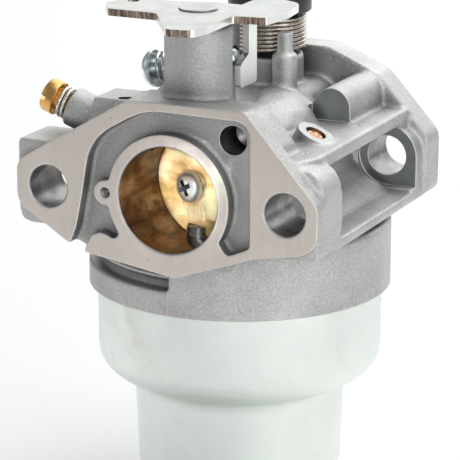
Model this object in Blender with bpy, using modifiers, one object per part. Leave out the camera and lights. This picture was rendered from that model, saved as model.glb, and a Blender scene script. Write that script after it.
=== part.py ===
"""Small-engine carburetor, built in metres with +Z up and the engine flange facing -Y.

The origin is the centre of the throttle bore on the engine flange's machined face. Dimensions
below are in millimetres and are turned into metres by MM when a mesh is made.
"""

import math

import bmesh
import bpy
from mathutils import Matrix, Vector

MM = 0.001
NAME = "carburetor"

# Bore and flanges
BORE_R = 9.0
THROAT_R = 7.0
INTAKE_R = 10.8
REAR_FACE = 52.6
REAR_FRONT = 47.2
REAR_LUG = 44.2
PLATE_T = 3.6
STUD_X = (-22.2, 21.0)
STUD_R = 3.55
MIRROR_X = -1.2

# Shafts
THROTTLE_Y = 11.9
CHOKE_Y = 40.5
SHAFT_R = 2.0
SHAFT_HOLE_R = 2.06
DISC_TILT = math.radians(19.0)
DISC_T = 0.8
LEVER_Z = 28.65
LEVER_T = 1.2

# Bowl side
BOWL_Y = 28.4
SKIRT_R = 26.3
SKIRT_BOTTOM = -20.55
BOWL_R = 24.8
CUP_R = 18.4
BOWL_WALL = 0.9
BOWL_TOP = -18.9
BOWL_BOTTOM = -57.0
PILLAR_R = 4.6
PILLAR_BOTTOM = -53.5
PIN_Y = 43.6
PIN_Z = -15.6
NEEDLE_Y = 38.6

# Adjusting screws
PILOT_MOUTH = Vector((-21.4, 8.0, 12.1))
PILOT_DIR = Vector((math.cos(math.radians(20)), 0.0, -math.sin(math.radians(20))))
STOP_HEAD = Vector((-10.7, 18.0, 17.7))
STOP_DIR = Vector((math.cos(math.radians(12)), 0.0, math.sin(math.radians(12))))
STOP_LENGTH = 14.75
GAP = 0.3


# ---------------------------------------------------------------- helpers
def clear_scene():
    for obj in list(bpy.data.objects):
        bpy.data.objects.remove(obj, do_unlink=True)
    for mesh in list(bpy.data.meshes):
        bpy.data.meshes.remove(mesh)


def new_collection(name, hidden=False):
    made = bpy.data.collections.new(name)
    bpy.context.scene.collection.children.link(made)
    made.hide_render = hidden
    return made


def material(name, color, metallic, roughness):
    made = bpy.data.materials.new(name)
    made.use_nodes = True
    shader = made.node_tree.nodes["Principled BSDF"]
    shader.inputs["Base Color"].default_value = (*color, 1.0)
    shader.inputs["Metallic"].default_value = metallic
    shader.inputs["Roughness"].default_value = roughness
    return made


def add_object(name, bm, where, smooth=False, origin=None):
    """Turns a bmesh in millimetres into an object in metres, with its origin at a point in mm."""
    bmesh.ops.remove_doubles(bm, verts=bm.verts, dist=1e-5)
    bmesh.ops.recalc_face_normals(bm, faces=bm.faces)
    start = Vector(origin) if origin is not None else Vector((0, 0, 0))
    bmesh.ops.translate(bm, verts=bm.verts, vec=-start)
    bmesh.ops.scale(bm, verts=bm.verts, vec=(MM, MM, MM))
    mesh = bpy.data.meshes.new(name)
    bm.to_mesh(mesh)
    bm.free()
    for polygon in mesh.polygons:
        polygon.use_smooth = smooth
    obj = bpy.data.objects.new(name, mesh)
    obj.location = start * MM
    where.objects.link(obj)
    return obj


def as_cutter(obj):
    obj.hide_render = True
    obj.display_type = "WIRE"
    return obj


def arc(cx, cy, radius, start, end, steps):
    """Points on a circle from start to end degrees."""
    angles = [math.radians(start + (end - start) * i / steps) for i in range(steps + 1)]
    return [(cx + radius * math.cos(a), cy + radius * math.sin(a)) for a in angles]


def rounded(corners, step=22.5):
    """Outline through (x, y, radius) corners, each turned into an arc."""
    out = []
    count = len(corners)
    for i, (x, y, radius) in enumerate(corners):
        here = Vector((x, y))
        before = Vector(corners[i - 1][:2]) - here
        after = Vector(corners[(i + 1) % count][:2]) - here
        if radius <= 0:
            out.append((x, y))
            continue
        before.normalize()
        after.normalize()
        half = before.angle(after) / 2
        reach = radius / math.tan(half)
        centre = here + (before + after).normalized() * radius / math.sin(half)
        a = here + before * reach - centre
        b = here + after * reach - centre
        turn = math.atan2(a.x * b.y - a.y * b.x, a.dot(b))
        steps = max(1, round(abs(math.degrees(turn)) / step))
        for k in range(steps + 1):
            c, s = math.cos(turn * k / steps), math.sin(turn * k / steps)
            out.append((centre.x + a.x * c - a.y * s, centre.y + a.x * s + a.y * c))
    return out


def prism(outline, low, high, axis="y"):
    """Solid between two parallel copies of an outline: XZ along y, XY along z, YZ along x."""
    place = {
        "y": lambda p, h: (p[0], h, p[1]),
        "z": lambda p, h: (p[0], p[1], h),
        "x": lambda p, h: (h, p[0], p[1]),
    }[axis]
    bm = bmesh.new()
    a = [bm.verts.new(place(p, low)) for p in outline]
    b = [bm.verts.new(place(p, high)) for p in outline]
    bm.faces.new(a)
    bm.faces.new(list(reversed(b)))
    for i in range(len(outline)):
        j = (i + 1) % len(outline)
        bm.faces.new((a[j], a[i], b[i], b[j]))
    return bm


def box(x0, x1, y0, y1, z0, z1):
    return prism([(x0, z0), (x1, z0), (x1, z1), (x0, z1)], y0, y1)


def revolve(profile, base, direction, segments, phase=0.0):
    """Solid of revolution: profile holds (radius, height) points along an axis, both ends on it."""
    bm = bmesh.new()
    rings = []
    turns = [2 * math.pi * (k + phase) / segments for k in range(segments)]
    for radius, height in profile:
        if radius < 1e-6:
            rings.append([bm.verts.new((0, 0, height))])
        else:
            rings.append([bm.verts.new((radius * math.cos(a), radius * math.sin(a), height))
                          for a in turns])
    closed = profile[0] == profile[-1]
    if closed:
        for vert in rings[-1]:
            bm.verts.remove(vert)
        rings[-1] = rings[0]
    for lower, upper in zip(rings, rings[1:]):
        for k in range(segments):
            n = (k + 1) % segments
            corners = [lower[k % len(lower)], lower[n % len(lower)],
                       upper[n % len(upper)], upper[k % len(upper)]]
            kept = list(dict.fromkeys(corners))
            if len(kept) > 2:
                bm.faces.new(kept)
    turn = Vector((0, 0, 1)).rotation_difference(Vector(direction)).to_matrix().to_4x4()
    bmesh.ops.transform(bm, matrix=Matrix.Translation(Vector(base)) @ turn, verts=bm.verts)
    return bm


def rod(base, direction, radius, length, segments=24, phase=0.0):
    profile = [(0, 0), (radius, 0), (radius, length), (0, length)]
    return revolve(profile, base, direction, segments, phase)


def tube(base, direction, inner, outer, length, segments=24):
    ring = [(inner, 0), (outer, 0), (outer, length), (inner, length), (inner, 0)]
    return revolve(ring, base, direction, segments)


def coil(name, where, base, direction, radius, wire, pitch, turns, steps=14, sides=6):
    """Helical spring made by a Screw modifier on a small round section."""
    bm = bmesh.new()
    section = [
        bm.verts.new(((radius + wire * math.cos(2 * math.pi * k / sides)) * MM, 0,
                      wire * math.sin(2 * math.pi * k / sides) * MM))
        for k in range(sides)
    ]
    for k in range(sides):
        bm.edges.new((section[k], section[(k + 1) % sides]))
    mesh = bpy.data.meshes.new(name)
    bm.to_mesh(mesh)
    bm.free()
    guide = bpy.data.objects.new(name + "_guide", mesh)
    where.objects.link(guide)
    screw = guide.modifiers.new("coil", "SCREW")
    screw.axis = "Z"
    screw.angle = 2 * math.pi * turns
    screw.screw_offset = pitch * turns * MM
    screw.steps = screw.render_steps = int(steps * turns)
    screw.use_merge_vertices = False
    bpy.context.view_layer.update()
    graph = bpy.context.evaluated_depsgraph_get()
    made = bmesh.new()
    made.from_mesh(guide.evaluated_get(graph).to_mesh())
    bpy.data.objects.remove(guide, do_unlink=True)
    bmesh.ops.holes_fill(made, edges=made.edges, sides=sides)
    bmesh.ops.recalc_face_normals(made, faces=made.faces)
    turn = Vector((0, 0, 1)).rotation_difference(Vector(direction)).to_matrix().to_4x4()
    bmesh.ops.scale(made, vec=(1 / MM, 1 / MM, 1 / MM), verts=made.verts)
    bmesh.ops.transform(made, matrix=Matrix.Translation(Vector(base)) @ turn, verts=made.verts)
    return add_object(name, made, where, smooth=True)


def boolean(obj, operation, operands, label):
    """Adds one exact Boolean per operand."""
    for i, operand in enumerate(operands):
        modifier = obj.modifiers.new(f"{label}_{i}", "BOOLEAN")
        modifier.operation = operation
        modifier.solver = "EXACT"
        modifier.object = operand
        as_cutter(operand)


def boolean_group(obj, operation, operands, label):
    """Adds one exact Boolean for a whole group of operands."""
    group = bpy.data.collections.new(label)
    bpy.data.collections["helpers"].children.link(group)
    for operand in operands:
        bpy.data.collections["helpers"].objects.unlink(operand)
        group.objects.link(as_cutter(operand))
    modifier = obj.modifiers.new(label, "BOOLEAN")
    modifier.operation = operation
    modifier.solver = "EXACT"
    modifier.operand_type = "COLLECTION"
    modifier.collection = group


def mirrored(corners):
    return [(MIRROR_X - x, y, r) for x, y, r in reversed(corners)]


# ---------------------------------------------------------------- body outlines
def front_outline():
    return rounded([
        (-28.1, 3.9, 3.0), (-7.3, 16.2, 6.0), (13.9, 16.3, 1.8), (26.75, 1.9, 2.5),
        (26.7, -6.0, 4.0), (16.0, -7.9, 8.0), (1.3, -13.1, 1.2), (-15.7, -10.5, 0.7),
        (-18.8, -9.1, 0.8), (-28.1, -3.2, 2.8),
    ])


def recess_outline():
    outer = rounded([
        (-19.4, -12.5, 0), (-17.0, -6.3, 0), (-15.9, -1.0, 0), (-14.2, 9.0, 4.5),
        (-4.2, 14.9, 3.5), (14.95, 14.6, 2.6), (14.95, -6.4, 1.0), (10.6, -8.3, 1.1),
        (9.25, -6.2, 0),
    ], step=15)
    inner = arc(0, 0, 11.0, -33, 168, 20)
    inner += arc(-11.5, 0.1, 2.05, 70, 285, 8)
    inner += arc(0, 0, 11.0, 192, 216, 3)
    inner += [(-9.3, -7.4), (-10.3, -7.7), (-11.4, -7.1), (-12.6, -6.9), (-14.0, -7.5),
              (-15.1, -9.3), (-16.0, -12.5)]
    return outer + inner


def rear_outline():
    right = [(8.4, 17.7, 3.0), (18.0, 13.7, 2.0), (27.5, 3.2, 3.0), (27.4, -6.7, 1.5),
             (19.0, -12.4, 3.0)]
    return rounded(right + mirrored(right))


def lug_outline():
    """Block round the right stud with a half-round top; it carries on down to the rail."""
    top = arc(21.0, 0.0, 5.7, 0, 180, 8)
    return [(14.0, -7.6), (25.9, -7.6), (26.6, -6.9)] + top[:-1] + [(14.5, 1.5)]


def rear_lug_outline(x, side):
    """Raised pad round a rear stud, half round on top and straight down its outer side."""
    top = [(x + side * (u - x), z) for u, z in arc(x, 0.0, 5.5, 0, 120, 8)]
    return [(x - side * 8.0, -7.4), (x + side * 5.5, -6.8)] + top + [(x - side * 8.0, 4.6)]


def rail_outline():
    return [(8.0, -10.8), (26.5, -7.55), (26.5, -5.9), (22.2, -5.6), (21.4, -5.3), (17.0, -3.0),
            (15.3, -1.4), (14.5, 0.8), (12.5, 3.0), (8.0, 3.0)]


# ---------------------------------------------------------------- body
def body_blocks(where):
    """The outer solids of the casting."""
    lug = rounded([(-28.2, -6.9, 2.0), (-14.0, -6.9, 0), (-14.0, 7.6, 0), (-28.2, 7.6, 0.5)])
    hump = rounded([(-15.4, -6.5, 2.0), (-16.5, 9.0, 0), (-15.0, 15.3, 1.0), (12.8, 15.4, 3.5),
                    (18.3, 9.0, 3.0), (17.2, -6.5, 1.5), (8.0, -9.4, 0), (-10.0, -9.4, 0)])
    top = rounded([(-10.6, -4.0, 0), (9.9, -4.0, 0), (9.9, 12.3, 3.5), (-10.6, 12.3, 3.5)])
    arch = [(11.9, 6.5), (18.7, 6.5)] + arc(15.3, 10.4, 3.4, 0, 180, 10)
    shelf = rounded([(7.0, 3.0, 0), (21.2, 3.0, 0), (23.6, 8.0, 1.5), (23.6, 48.0, 0),
                     (7.0, 48.0, 0)])
    lug_top = rounded([(14.0, -4.0, 0), (26.7, -4.0, 0), (26.7, 7.2, 5.0), (14.5, 7.2, 0)])
    wall = rounded([(8.0, -9.0, 0), (15.2, -9.0, 0), (14.6, 7.0, 0), (8.0, 7.0, 0)])
    right_rail, blocks = rail_outline(), []
    left_rail = [(MIRROR_X - x, z) for x, z in reversed(right_rail)]
    left_wall = [(MIRROR_X - x, z) for x, z in reversed(wall)]
    up, along = (0, 0, 1), (0, 1, 0)
    blocks += [
        ("front_plate", prism(front_outline(), 0.0, PLATE_T)),
        ("lug_left", prism(lug, 0.9, 11.0)),
        ("lug_right", prism(lug_outline(), 0.9, 10.6)),
        ("lug_right_top", prism(lug_top, 3.4, 10.5)),
        ("hump", prism(hump, 3.1, 15.0)),
        ("column", rod((0, THROTTLE_Y, 5.0), up, 5.65, 22.6, 40)),
        ("column_pad", box(-3.7, 0.0, 6.27, THROTTLE_Y, 10.0, 27.6)),
        ("stop_low", box(-6.2, 2.6, 14.2, 21.4, 10.0, 21.8)),
        ("stop_high", box(-3.4, 3.7, 13.0, 20.6, 21.2, 27.2)),
        ("choke_column", rod((0, CHOKE_Y, 5.0), up, 6.0, 12.4, 36)),
        ("post", rod((5.9, 33.8, 8.0), up, 2.2, 10.7, 20)),
        ("post_tip", rod((5.9, 33.8, 17.0), up, 1.4, 5.5, 16, 0.5)),
        ("barrel", rod((0, 2.0, 0), along, 12.6, 47.0, 48)),
        ("barrel_top", prism(top, 14.0, 48.0)),
        ("rear_flange", prism(rear_outline(), REAR_FRONT, REAR_FACE)),
        ("rear_lug_right", prism(rear_lug_outline(STUD_X[1], 1), REAR_LUG, 48.5)),
        ("rear_lug_left", prism(rear_lug_outline(STUD_X[0], -1), REAR_LUG, 48.5)),
        ("arch", prism(arch, 32.5, 48.0)),
        ("shelf", prism(shelf, 5.6, 8.0, "z")),
        ("wall", prism(wall, 9.0, 48.2)),
        ("wall_left", prism(left_wall, 9.0, 48.2)),
        ("rail", prism(right_rail, 9.0, 47.8)),
        ("rail_left", prism(left_rail, 9.0, 47.8)),
        ("jet_boss", rod((15.9, 18.6, 4.0), (0.4226, 0, 0.9063), 3.3, 5.9, 24)),
        ("pilot_boss", rod(PILOT_MOUTH, PILOT_DIR, 3.4, 12.0, 28)),
        ("skirt", rod((0, BOWL_Y, SKIRT_BOTTOM), up, SKIRT_R, 12.0, 80)),
    ]
    return [add_object("solid_" + name, bm, where) for name, bm in blocks]


def bore_cutter(where):
    """Throttle bore, venturi and intake, as one turned shape along Y."""
    profile = [(0, -1.0), (BORE_R, -1.0), (BORE_R, 20.0), (8.3, 22.0), (THROAT_R, 25.5),
               (THROAT_R, 28.0), (8.4, 30.5), (INTAKE_R, 34.5), (INTAKE_R, 54.0), (0, 54.0)]
    return add_object("cut_bore", revolve(profile, (0, 0, 0), (0, 1, 0), 64), where)


def outer_cutters(where):
    """Everything taken from the casting before its inner bosses are added."""
    up, along = (0, 0, 1), (0, 1, 0)
    cuts = [("recess", prism(recess_outline(), -1.0, 2.4))]
    cuts.append(("side_hole", rod((12.05, -1, 11.1), along, 2.45, 9.0, 24)))
    for side, x in zip(("left", "right"), STUD_X):
        cuts.append((f"stud_front_{side}", rod((x, -1, 0), along, STUD_R, 13.0, 32)))
        cuts.append((f"stud_rear_{side}", rod((x, 43, 0), along, STUD_R, 11.0, 32)))
        cuts.append((f"stud_spot_{side}", rod((x, 39.5, 0), along, 5.25, REAR_LUG - 39.5, 32)))
    cuts.append(("boss_top", box(-26.0, -8.6, 2.2, 15.6, 15.3, 20.0)))
    # Groove above the skirt on its left front quarter, with a step inside it
    ring = revolve([(20.6, -16.3), (27.5, -16.3), (27.5, -10.2), (20.6, -10.2), (20.6, -16.3)],
                   (0, BOWL_Y, 0), up, 64)
    cuts.append(("groove", ring))
    cuts.append(("rear_flat", box(-30, 30, REAR_FACE, 60, -12.7, -5.0)))
    # Float chamber roof and the bowl's seat
    cuts.append(("chamber", rod((0, BOWL_Y, -24.0), up, 18.7, 10.6, 52, 0.5)))
    cuts.append(("seat", rod((0, BOWL_Y, -24.0), up, 25.1, 6.6, 80)))
    objects = [add_object("cut_" + name, bm, where) for name, bm in cuts]
    objects.append(bore_cutter(where))
    return objects


def limit_groove(groove, where):
    """The groove is kept on the left front only."""
    keep = add_object("cut_groove_limit", box(-1.1, 40, -5, 70, -20, 0), where)
    back = add_object("cut_groove_back", box(-40, 0, 29.0, 70, -20, 0), where)
    boolean(groove, "DIFFERENCE", [keep, back], "limit")


def inner_blocks(where):
    """Pillar, float hinge lugs, needle boss and fuel inlet boss inside and below the casting."""
    up = (0, 0, 1)
    blocks = [("pillar", rod((0, BOWL_Y, PILLAR_BOTTOM), up, PILLAR_R, 44.6, 32, 0.3))]
    for side, x in (("left", -6.4), ("right", 4.2)):
        blocks.append((f"pin_lug_{side}", box(x, x + 2.2, PIN_Y - 1.9, PIN_Y + 1.9, -17.7, -12.0)))
    inlet, inlet_dir = inlet_frame()
    blocks.append(("inlet_boss", rod(inlet, inlet_dir, 3.3, 2.5, 24)))
    blocks.append(("needle_boss", rod((0, NEEDLE_Y, -16.2), up, 3.4, 4.6, 20)))
    return [add_object("solid_" + name, bm, where) for name, bm in blocks]


def inlet_frame():
    """Base and direction of the fuel inlet, which leaves the skirt at the back on the left."""
    direction = Vector((-0.5, 0.866, 0)).normalized()
    return Vector((0, BOWL_Y, -15.2)) + direction * 25.3, direction


def inner_cutters(where):
    up = (0, 0, 1)
    jet_dir = Vector((0.4226, 0, 0.9063))
    jet_top = Vector((15.9, 18.6, 4.0)) + jet_dir * 5.9
    inlet, inlet_dir = inlet_frame()
    cuts = [
        ("throttle_shaft", rod((0, THROTTLE_Y, -12.4), up, SHAFT_HOLE_R, 42, 24)),
        ("choke_shaft", rod((0, CHOKE_Y, -11.8), up, SHAFT_HOLE_R, 31, 24, 0.37)),
        ("pilot_thread", rod(PILOT_MOUTH - PILOT_DIR, PILOT_DIR, 2.25, 9.6, 20)),
        ("pilot_port", rod(PILOT_MOUTH, PILOT_DIR, 0.9, 17.0, 12)),
        ("stop_thread", rod(STOP_HEAD + STOP_DIR * 2, STOP_DIR, 2.15, 16.0, 20)),
        ("plug", rod((-9.6, 4.9, 12.5), up, 1.0, 6.0, 16)),
        ("jet", rod(jet_top - jet_dir * 5.0, jet_dir, 1.6, 6.0, 16)),
        ("nozzle", rod((0, BOWL_Y, -60.0), up, 2.7, 56.0, 24)),
        ("bolt_thread", rod((0, BOWL_Y, -60.0), up, 3.3, 12.5, 24)),
        ("pin", rod((-8, PIN_Y, PIN_Z), (1, 0, 0), 0.86, 16.0, 16)),
        ("needle_seat", rod((0, NEEDLE_Y, -20.0), up, 2.4, 7.3, 20, 0.5)),
        ("main_air", rod((-6.3, 48.6, 10.9), (0, 1, 0), 1.45, 6.0, 16)),
        ("pilot_air", rod((6.3, 48.6, 10.9), (0, 1, 0), 1.45, 6.0, 16)),
        ("dimple", revolve([(0, 0), (1.0, 0), (0, 1.2)], (-11.5, -0.02, 0.1), (0, 1, 0), 12)),
        ("inlet", rod(inlet + inlet_dir * 0.3, inlet_dir, 2.45, 8.0, 20)),
    ]
    return [add_object("cut_" + name, bm, where) for name, bm in cuts]


def make_body(parts, helpers):
    core = rounded([(-12.0, -11.5, 0), (10.0, -11.5, 0), (12.0, -5.5, 0), (-13.0, -5.5, 0)])
    body = add_object("body", prism(core, 2.9, 48.4), parts)
    boolean_group(body, "UNION", body_blocks(helpers), "outer_blocks")
    cuts = outer_cutters(helpers)
    limit_groove(next(c for c in cuts if c.name == "cut_groove"), helpers)
    boolean_group(body, "DIFFERENCE", cuts, "outer_cuts")
    boolean_group(body, "UNION", inner_blocks(helpers), "inner_blocks")
    boolean_group(body, "DIFFERENCE", inner_cutters(helpers), "inner_cuts")
    return body


# ---------------------------------------------------------------- bowl and float
def bowl_profile(inset):
    """Half section of the pressed bowl; inset moves it inwards for the inner wall."""
    outer = [(BOWL_R, BOWL_TOP), (BOWL_R, -30.5)]
    outer += [(BOWL_R - 5.6 + 5.6 * math.cos(math.radians(a)),
               -31.5 - 5.6 * math.sin(math.radians(a))) for a in (15, 35, 55, 75)]
    outer += [(CUP_R + 0.4, -38.6), (CUP_R, -39.6), (CUP_R - 0.5, -51.5)]
    outer += [(CUP_R - 5.0 + 4.5 * math.cos(math.radians(a)),
               -52.5 - 4.5 * math.sin(math.radians(a))) for a in (25, 50, 75)]
    outer += [(3.6, BOWL_BOTTOM)]
    if not inset:
        return outer
    inner = [(r - inset, z) for r, z in outer[:2]]
    inner += [(BOWL_R - 5.6 + (5.6 - inset) * math.cos(math.radians(a)),
               -31.5 - (5.6 - inset) * math.sin(math.radians(a))) for a in (15, 35, 55, 75)]
    inner += [(CUP_R - inset, -38.2), (CUP_R - inset, -39.6), (CUP_R - 0.5 - inset, -51.5)]
    inner += [(CUP_R - 5.0 + (4.5 - inset) * math.cos(math.radians(a)),
               -52.5 - (4.5 - inset) * math.sin(math.radians(a))) for a in (25, 50, 75)]
    return inner + [(3.6, BOWL_BOTTOM + inset)]


def make_bowl(parts):
    section = bowl_profile(0) + list(reversed(bowl_profile(BOWL_WALL)))
    section.append(section[0])
    return add_object("float_bowl", revolve(section, (0, BOWL_Y, 0), (0, 0, 1), 48), parts, True)


def make_float(parts, helpers):
    """Ring float with its hinge arm; the object's origin is on the float pin."""
    ring = [(8.0, -33.0), (8.0, -22.4), (9.0, -21.4), (20.4, -21.4), (21.4, -22.4),
            (21.4, -32.0), (20.4, -33.0), (8.0, -33.0)]
    made = add_object("float", revolve(ring, (0, BOWL_Y, 0), (0, 0, 1), 40), parts, False,
                      (0, PIN_Y, PIN_Z))
    hub = [(PIN_Y - 1.5, PIN_Z + 1.2), (PIN_Y + 1.5, PIN_Z + 1.2), (PIN_Y + 1.5, -20.9),
           (PIN_Y + 0.5, -22.4), (NEEDLE_Y - 3.0, -22.4), (NEEDLE_Y - 3.0, -20.6),
           (PIN_Y - 1.5, -20.6)]
    arm = add_object("solid_float_arm", prism(rounded([(y, z, 0) for y, z in hub]), -3.4, 3.4, "x"),
                     helpers)
    boolean(made, "UNION", [arm], "arm")
    hole = add_object("cut_float_pin", rod((-8, PIN_Y, PIN_Z), (1, 0, 0), 0.9, 16.0, 16), helpers)
    boolean(made, "DIFFERENCE", [hole], "pin")
    return made


def make_bowl_side(parts, helpers):
    up, down = (0, 0, 1), (0, 0, -1)
    make_bowl(parts)
    add_object("bowl_gasket", tube((0, BOWL_Y, -18.75), up, 23.0, 24.8, 1.2, 48), parts, True)
    make_float(parts, helpers)
    add_object("float_pin", rod((-7.6, PIN_Y, PIN_Z), (1, 0, 0), 0.8, 15.2, 12), parts, True)
    needle = [(0, 0), (1.5, 0), (1.5, 4.2), (0.9, 4.9), (0, 5.9)]
    add_object("float_needle", revolve(needle, (0, NEEDLE_Y, -20.3), up, 12), parts, True)
    seat = [(1.7, -17.2), (2.35, -17.2), (2.35, -12.9), (0.7, -12.9), (0.7, -14.0), (1.7, -14.8),
            (1.7, -17.2)]
    add_object("needle_seat", revolve(seat, (0, NEEDLE_Y, 0), up, 16), parts, True)
    nozzle = [(1.0, -45.0), (2.55, -45.0), (2.55, -9.0), (1.9, -8.0), (1.9, -5.2), (1.0, -5.2),
              (1.0, -45.0)]
    add_object("main_nozzle", revolve(nozzle, (0, BOWL_Y, 0), up, 16), parts, True)
    jet = [(0.45, -49.0), (2.5, -49.0), (2.5, -45.3), (0.45, -45.3), (0.45, -49.0)]
    add_object("main_jet", revolve(jet, (0, BOWL_Y, 0), up, 16), parts, True)
    add_object("bowl_washer", tube((0, BOWL_Y, BOWL_BOTTOM - 1.3), up, 3.5, 6.6, 1.1, 32), parts, True)
    make_bowl_bolt(parts)


def make_bowl_bolt(parts):
    """Hexagon bolt that holds the bowl up against the body."""
    low = BOWL_BOTTOM - 1.5
    hexagon = [(5.3 * math.cos(math.radians(a)), BOWL_Y + 5.3 * math.sin(math.radians(a)))
               for a in range(0, 360, 60)]
    bolt = add_object("bowl_bolt", prism(hexagon, low - 5.0, low - 0.8, "z"), parts)
    flange = [(0, low - 1.0), (6.2, low - 1.0), (6.2, low), (3.1, low), (3.1, -49.4), (0, -49.4)]
    shank = add_object("solid_bolt", revolve(flange, (0, BOWL_Y, 0), (0, 0, 1), 24),
                       bpy.data.collections["helpers"])
    boolean(bolt, "UNION", [shank], "shank")
    return bolt


# ---------------------------------------------------------------- throttle
def lever_outline():
    return rounded([
        (-13.6, 5.8, 1.0), (-4.6, 5.6, 1.5), (2.7, -5.6, 1.2), (7.0, -5.2, 2.2), (7.9, -1.5, 2.0),
        (7.7, 8.6, 0.8), (13.4, 9.6, 0.8), (14.3, 16.0, 4.0), (13.4, 23.4, 3.5), (8.0, 26.0, 2.5),
        (4.9, 23.0, 0.8), (4.9, 18.2, 0.0), (0.0, 18.4, 3.0), (-6.0, 16.4, 2.0),
        (-14.5, 16.2, 2.5), (-16.6, 10.5, 2.5),
    ])


def make_throttle(parts, helpers):
    up = (0, 0, 1)
    pivot = (0, THROTTLE_Y, 0)
    shaft_profile = [(0, -12.0), (1.5, -12.0), (1.5, -6.9), (SHAFT_R, -6.9), (SHAFT_R, 30.1), (0, 30.1)]
    shaft = add_object("throttle_shaft", revolve(shaft_profile, pivot, up, 20), parts, False, pivot)
    head = add_object("solid_shaft_head", rod((0, THROTTLE_Y, LEVER_Z + LEVER_T + 0.02), up, 3.3, 0.35, 24),
                      helpers)
    boolean(shaft, "UNION", [head], "head")
    flat = add_object("cut_shaft_flat", box(-3, 3, -3, DISC_T / 2 + 0.05, -7.1, 9.2), helpers)
    place_at_disc(flat)
    screw_hole = add_object("cut_shaft_screw", rod((0, -4, 0), (0, 1, 0), 1.55, 10.0, 12), helpers)
    place_at_disc(screw_hole)
    boolean(shaft, "DIFFERENCE", [flat, screw_hole], "flat")
    make_throttle_lever(parts, helpers)
    make_throttle_disc(parts, helpers)
    make_disc_screw("throttle_screw", parts)
    washer = tube((0, -DISC_T / 2 - 1.1, 0), (0, 1, 0), 1.6, 2.35, 0.9, 20)
    place_at_disc(add_object("lock_washer", washer, parts, True))
    add_object("throttle_seal", tube((0, THROTTLE_Y, 27.75), up, 2.12, 4.2, 0.75, 24), parts, True)


def place_at_disc(obj):
    """Turns an object built square to Y onto the closed throttle disc."""
    obj.rotation_euler = (0, 0, -DISC_TILT)
    obj.location = Vector((0, THROTTLE_Y, 0)) * MM


def make_throttle_lever(parts, helpers):
    lever = add_object("throttle_lever", prism(lever_outline(), LEVER_Z, LEVER_Z + LEVER_T, "z"),
                       parts, False, (0, THROTTLE_Y, 0))
    tab = rounded([(22.0, 29.0, 0), (18.8, 29.0, 0), (18.8, 21.6, 0.5), (15.5, 20.2, 0.8),
                   (15.5, 16.3, 0.6), (22.0, 16.3, 0.6)])
    stop = add_object("solid_tab", prism(tab, 4.9, 6.0, "x"), helpers)
    boolean(lever, "UNION", [stop], "tab")
    holes = [add_object("cut_lever_hub", rod((0, THROTTLE_Y, 27), (0, 0, 1), SHAFT_R + 0.02, 5, 20), helpers),
             add_object("cut_link_hole", rod((-12.9, 13.7, 27), (0, 0, 1), 1.0, 5, 12), helpers)]
    boolean(lever, "DIFFERENCE", holes, "hole")
    return lever


def make_throttle_disc(parts, helpers):
    """Elliptical butterfly disc that closes the bore at its tilt, notched for the shaft's round end."""
    bm = rod((0, -DISC_T / 2, 0), (0, 1, 0), BORE_R - 0.22, DISC_T, 48)
    bmesh.ops.scale(bm, vec=(1 / math.cos(DISC_TILT), 1, 1), verts=bm.verts)
    disc = add_object("throttle_disc", bm, parts)
    hole = add_object("cut_throttle_disc", rod((0, -3, 0), (0, 1, 0), 1.65, 6, 16), helpers)
    notch = add_object("cut_disc_notch", box(-1.8, 1.8, -2, 2, -12, -6.8), helpers)
    boolean(disc, "DIFFERENCE", [hole, notch], "screw")
    for obj in (disc, hole, notch):
        place_at_disc(obj)
    return disc


def make_disc_screw(name, parts):
    """Cross-head screw in front of the disc, its shank running back through the shaft."""
    front = -DISC_T / 2 - 1.2
    profile = [(0, front - 1.9), (1.6, front - 1.9), (2.5, front - 1.1), (2.55, front), (1.45, front),
               (1.45, 2.2), (0, 2.2)]
    screw = add_object(name, revolve(profile, (0, 0, 0), (0, 1, 0), 20), parts)
    place_at_disc(screw)
    return screw


# ---------------------------------------------------------------- choke
def make_choke(parts, helpers):
    """The choke disc stands along the bore at rest, that is fully open."""
    up = (0, 0, 1)
    pivot = (0, CHOKE_Y, 0)
    shaft = add_object("choke_shaft", rod((0, CHOKE_Y, -11.6), up, SHAFT_R, 42.2, 20), parts, False,
                       pivot)
    flat = add_object("cut_choke_flat", box(-3, DISC_T / 2 + 0.05, CHOKE_Y - 3, CHOKE_Y + 3, -10.9, 10.9),
                      helpers)
    hole = add_object("cut_choke_screw", rod((-4, CHOKE_Y, 0), (1, 0, 0), 1.55, 8, 12), helpers)
    boolean(shaft, "DIFFERENCE", [flat, hole], "flat")
    bm = rod((-DISC_T / 2, CHOKE_Y, 0), (1, 0, 0), INTAKE_R - 0.25, DISC_T, 40)
    disc = add_object("choke_disc", bm, parts, False, pivot)
    passage = add_object("cut_choke_disc", rod((-3, CHOKE_Y, 0), (1, 0, 0), 1.65, 6, 16), helpers)
    boolean(disc, "DIFFERENCE", [passage], "screw")
    front = -DISC_T / 2 - 0.05
    screw = [(0, front - 1.9), (1.6, front - 1.9), (2.5, front - 1.1), (2.55, front), (1.45, front),
             (1.45, 2.2), (0, 2.2)]
    add_object("choke_screw", revolve(screw, (0, CHOKE_Y, 0), (1, 0, 0), 20), parts)
    make_choke_lever(parts, helpers)
    coil("choke_spring", parts, (0, CHOKE_Y, 18.2), up, 6.15, 0.36, 0.78, 7.5, 14, 5)


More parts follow.
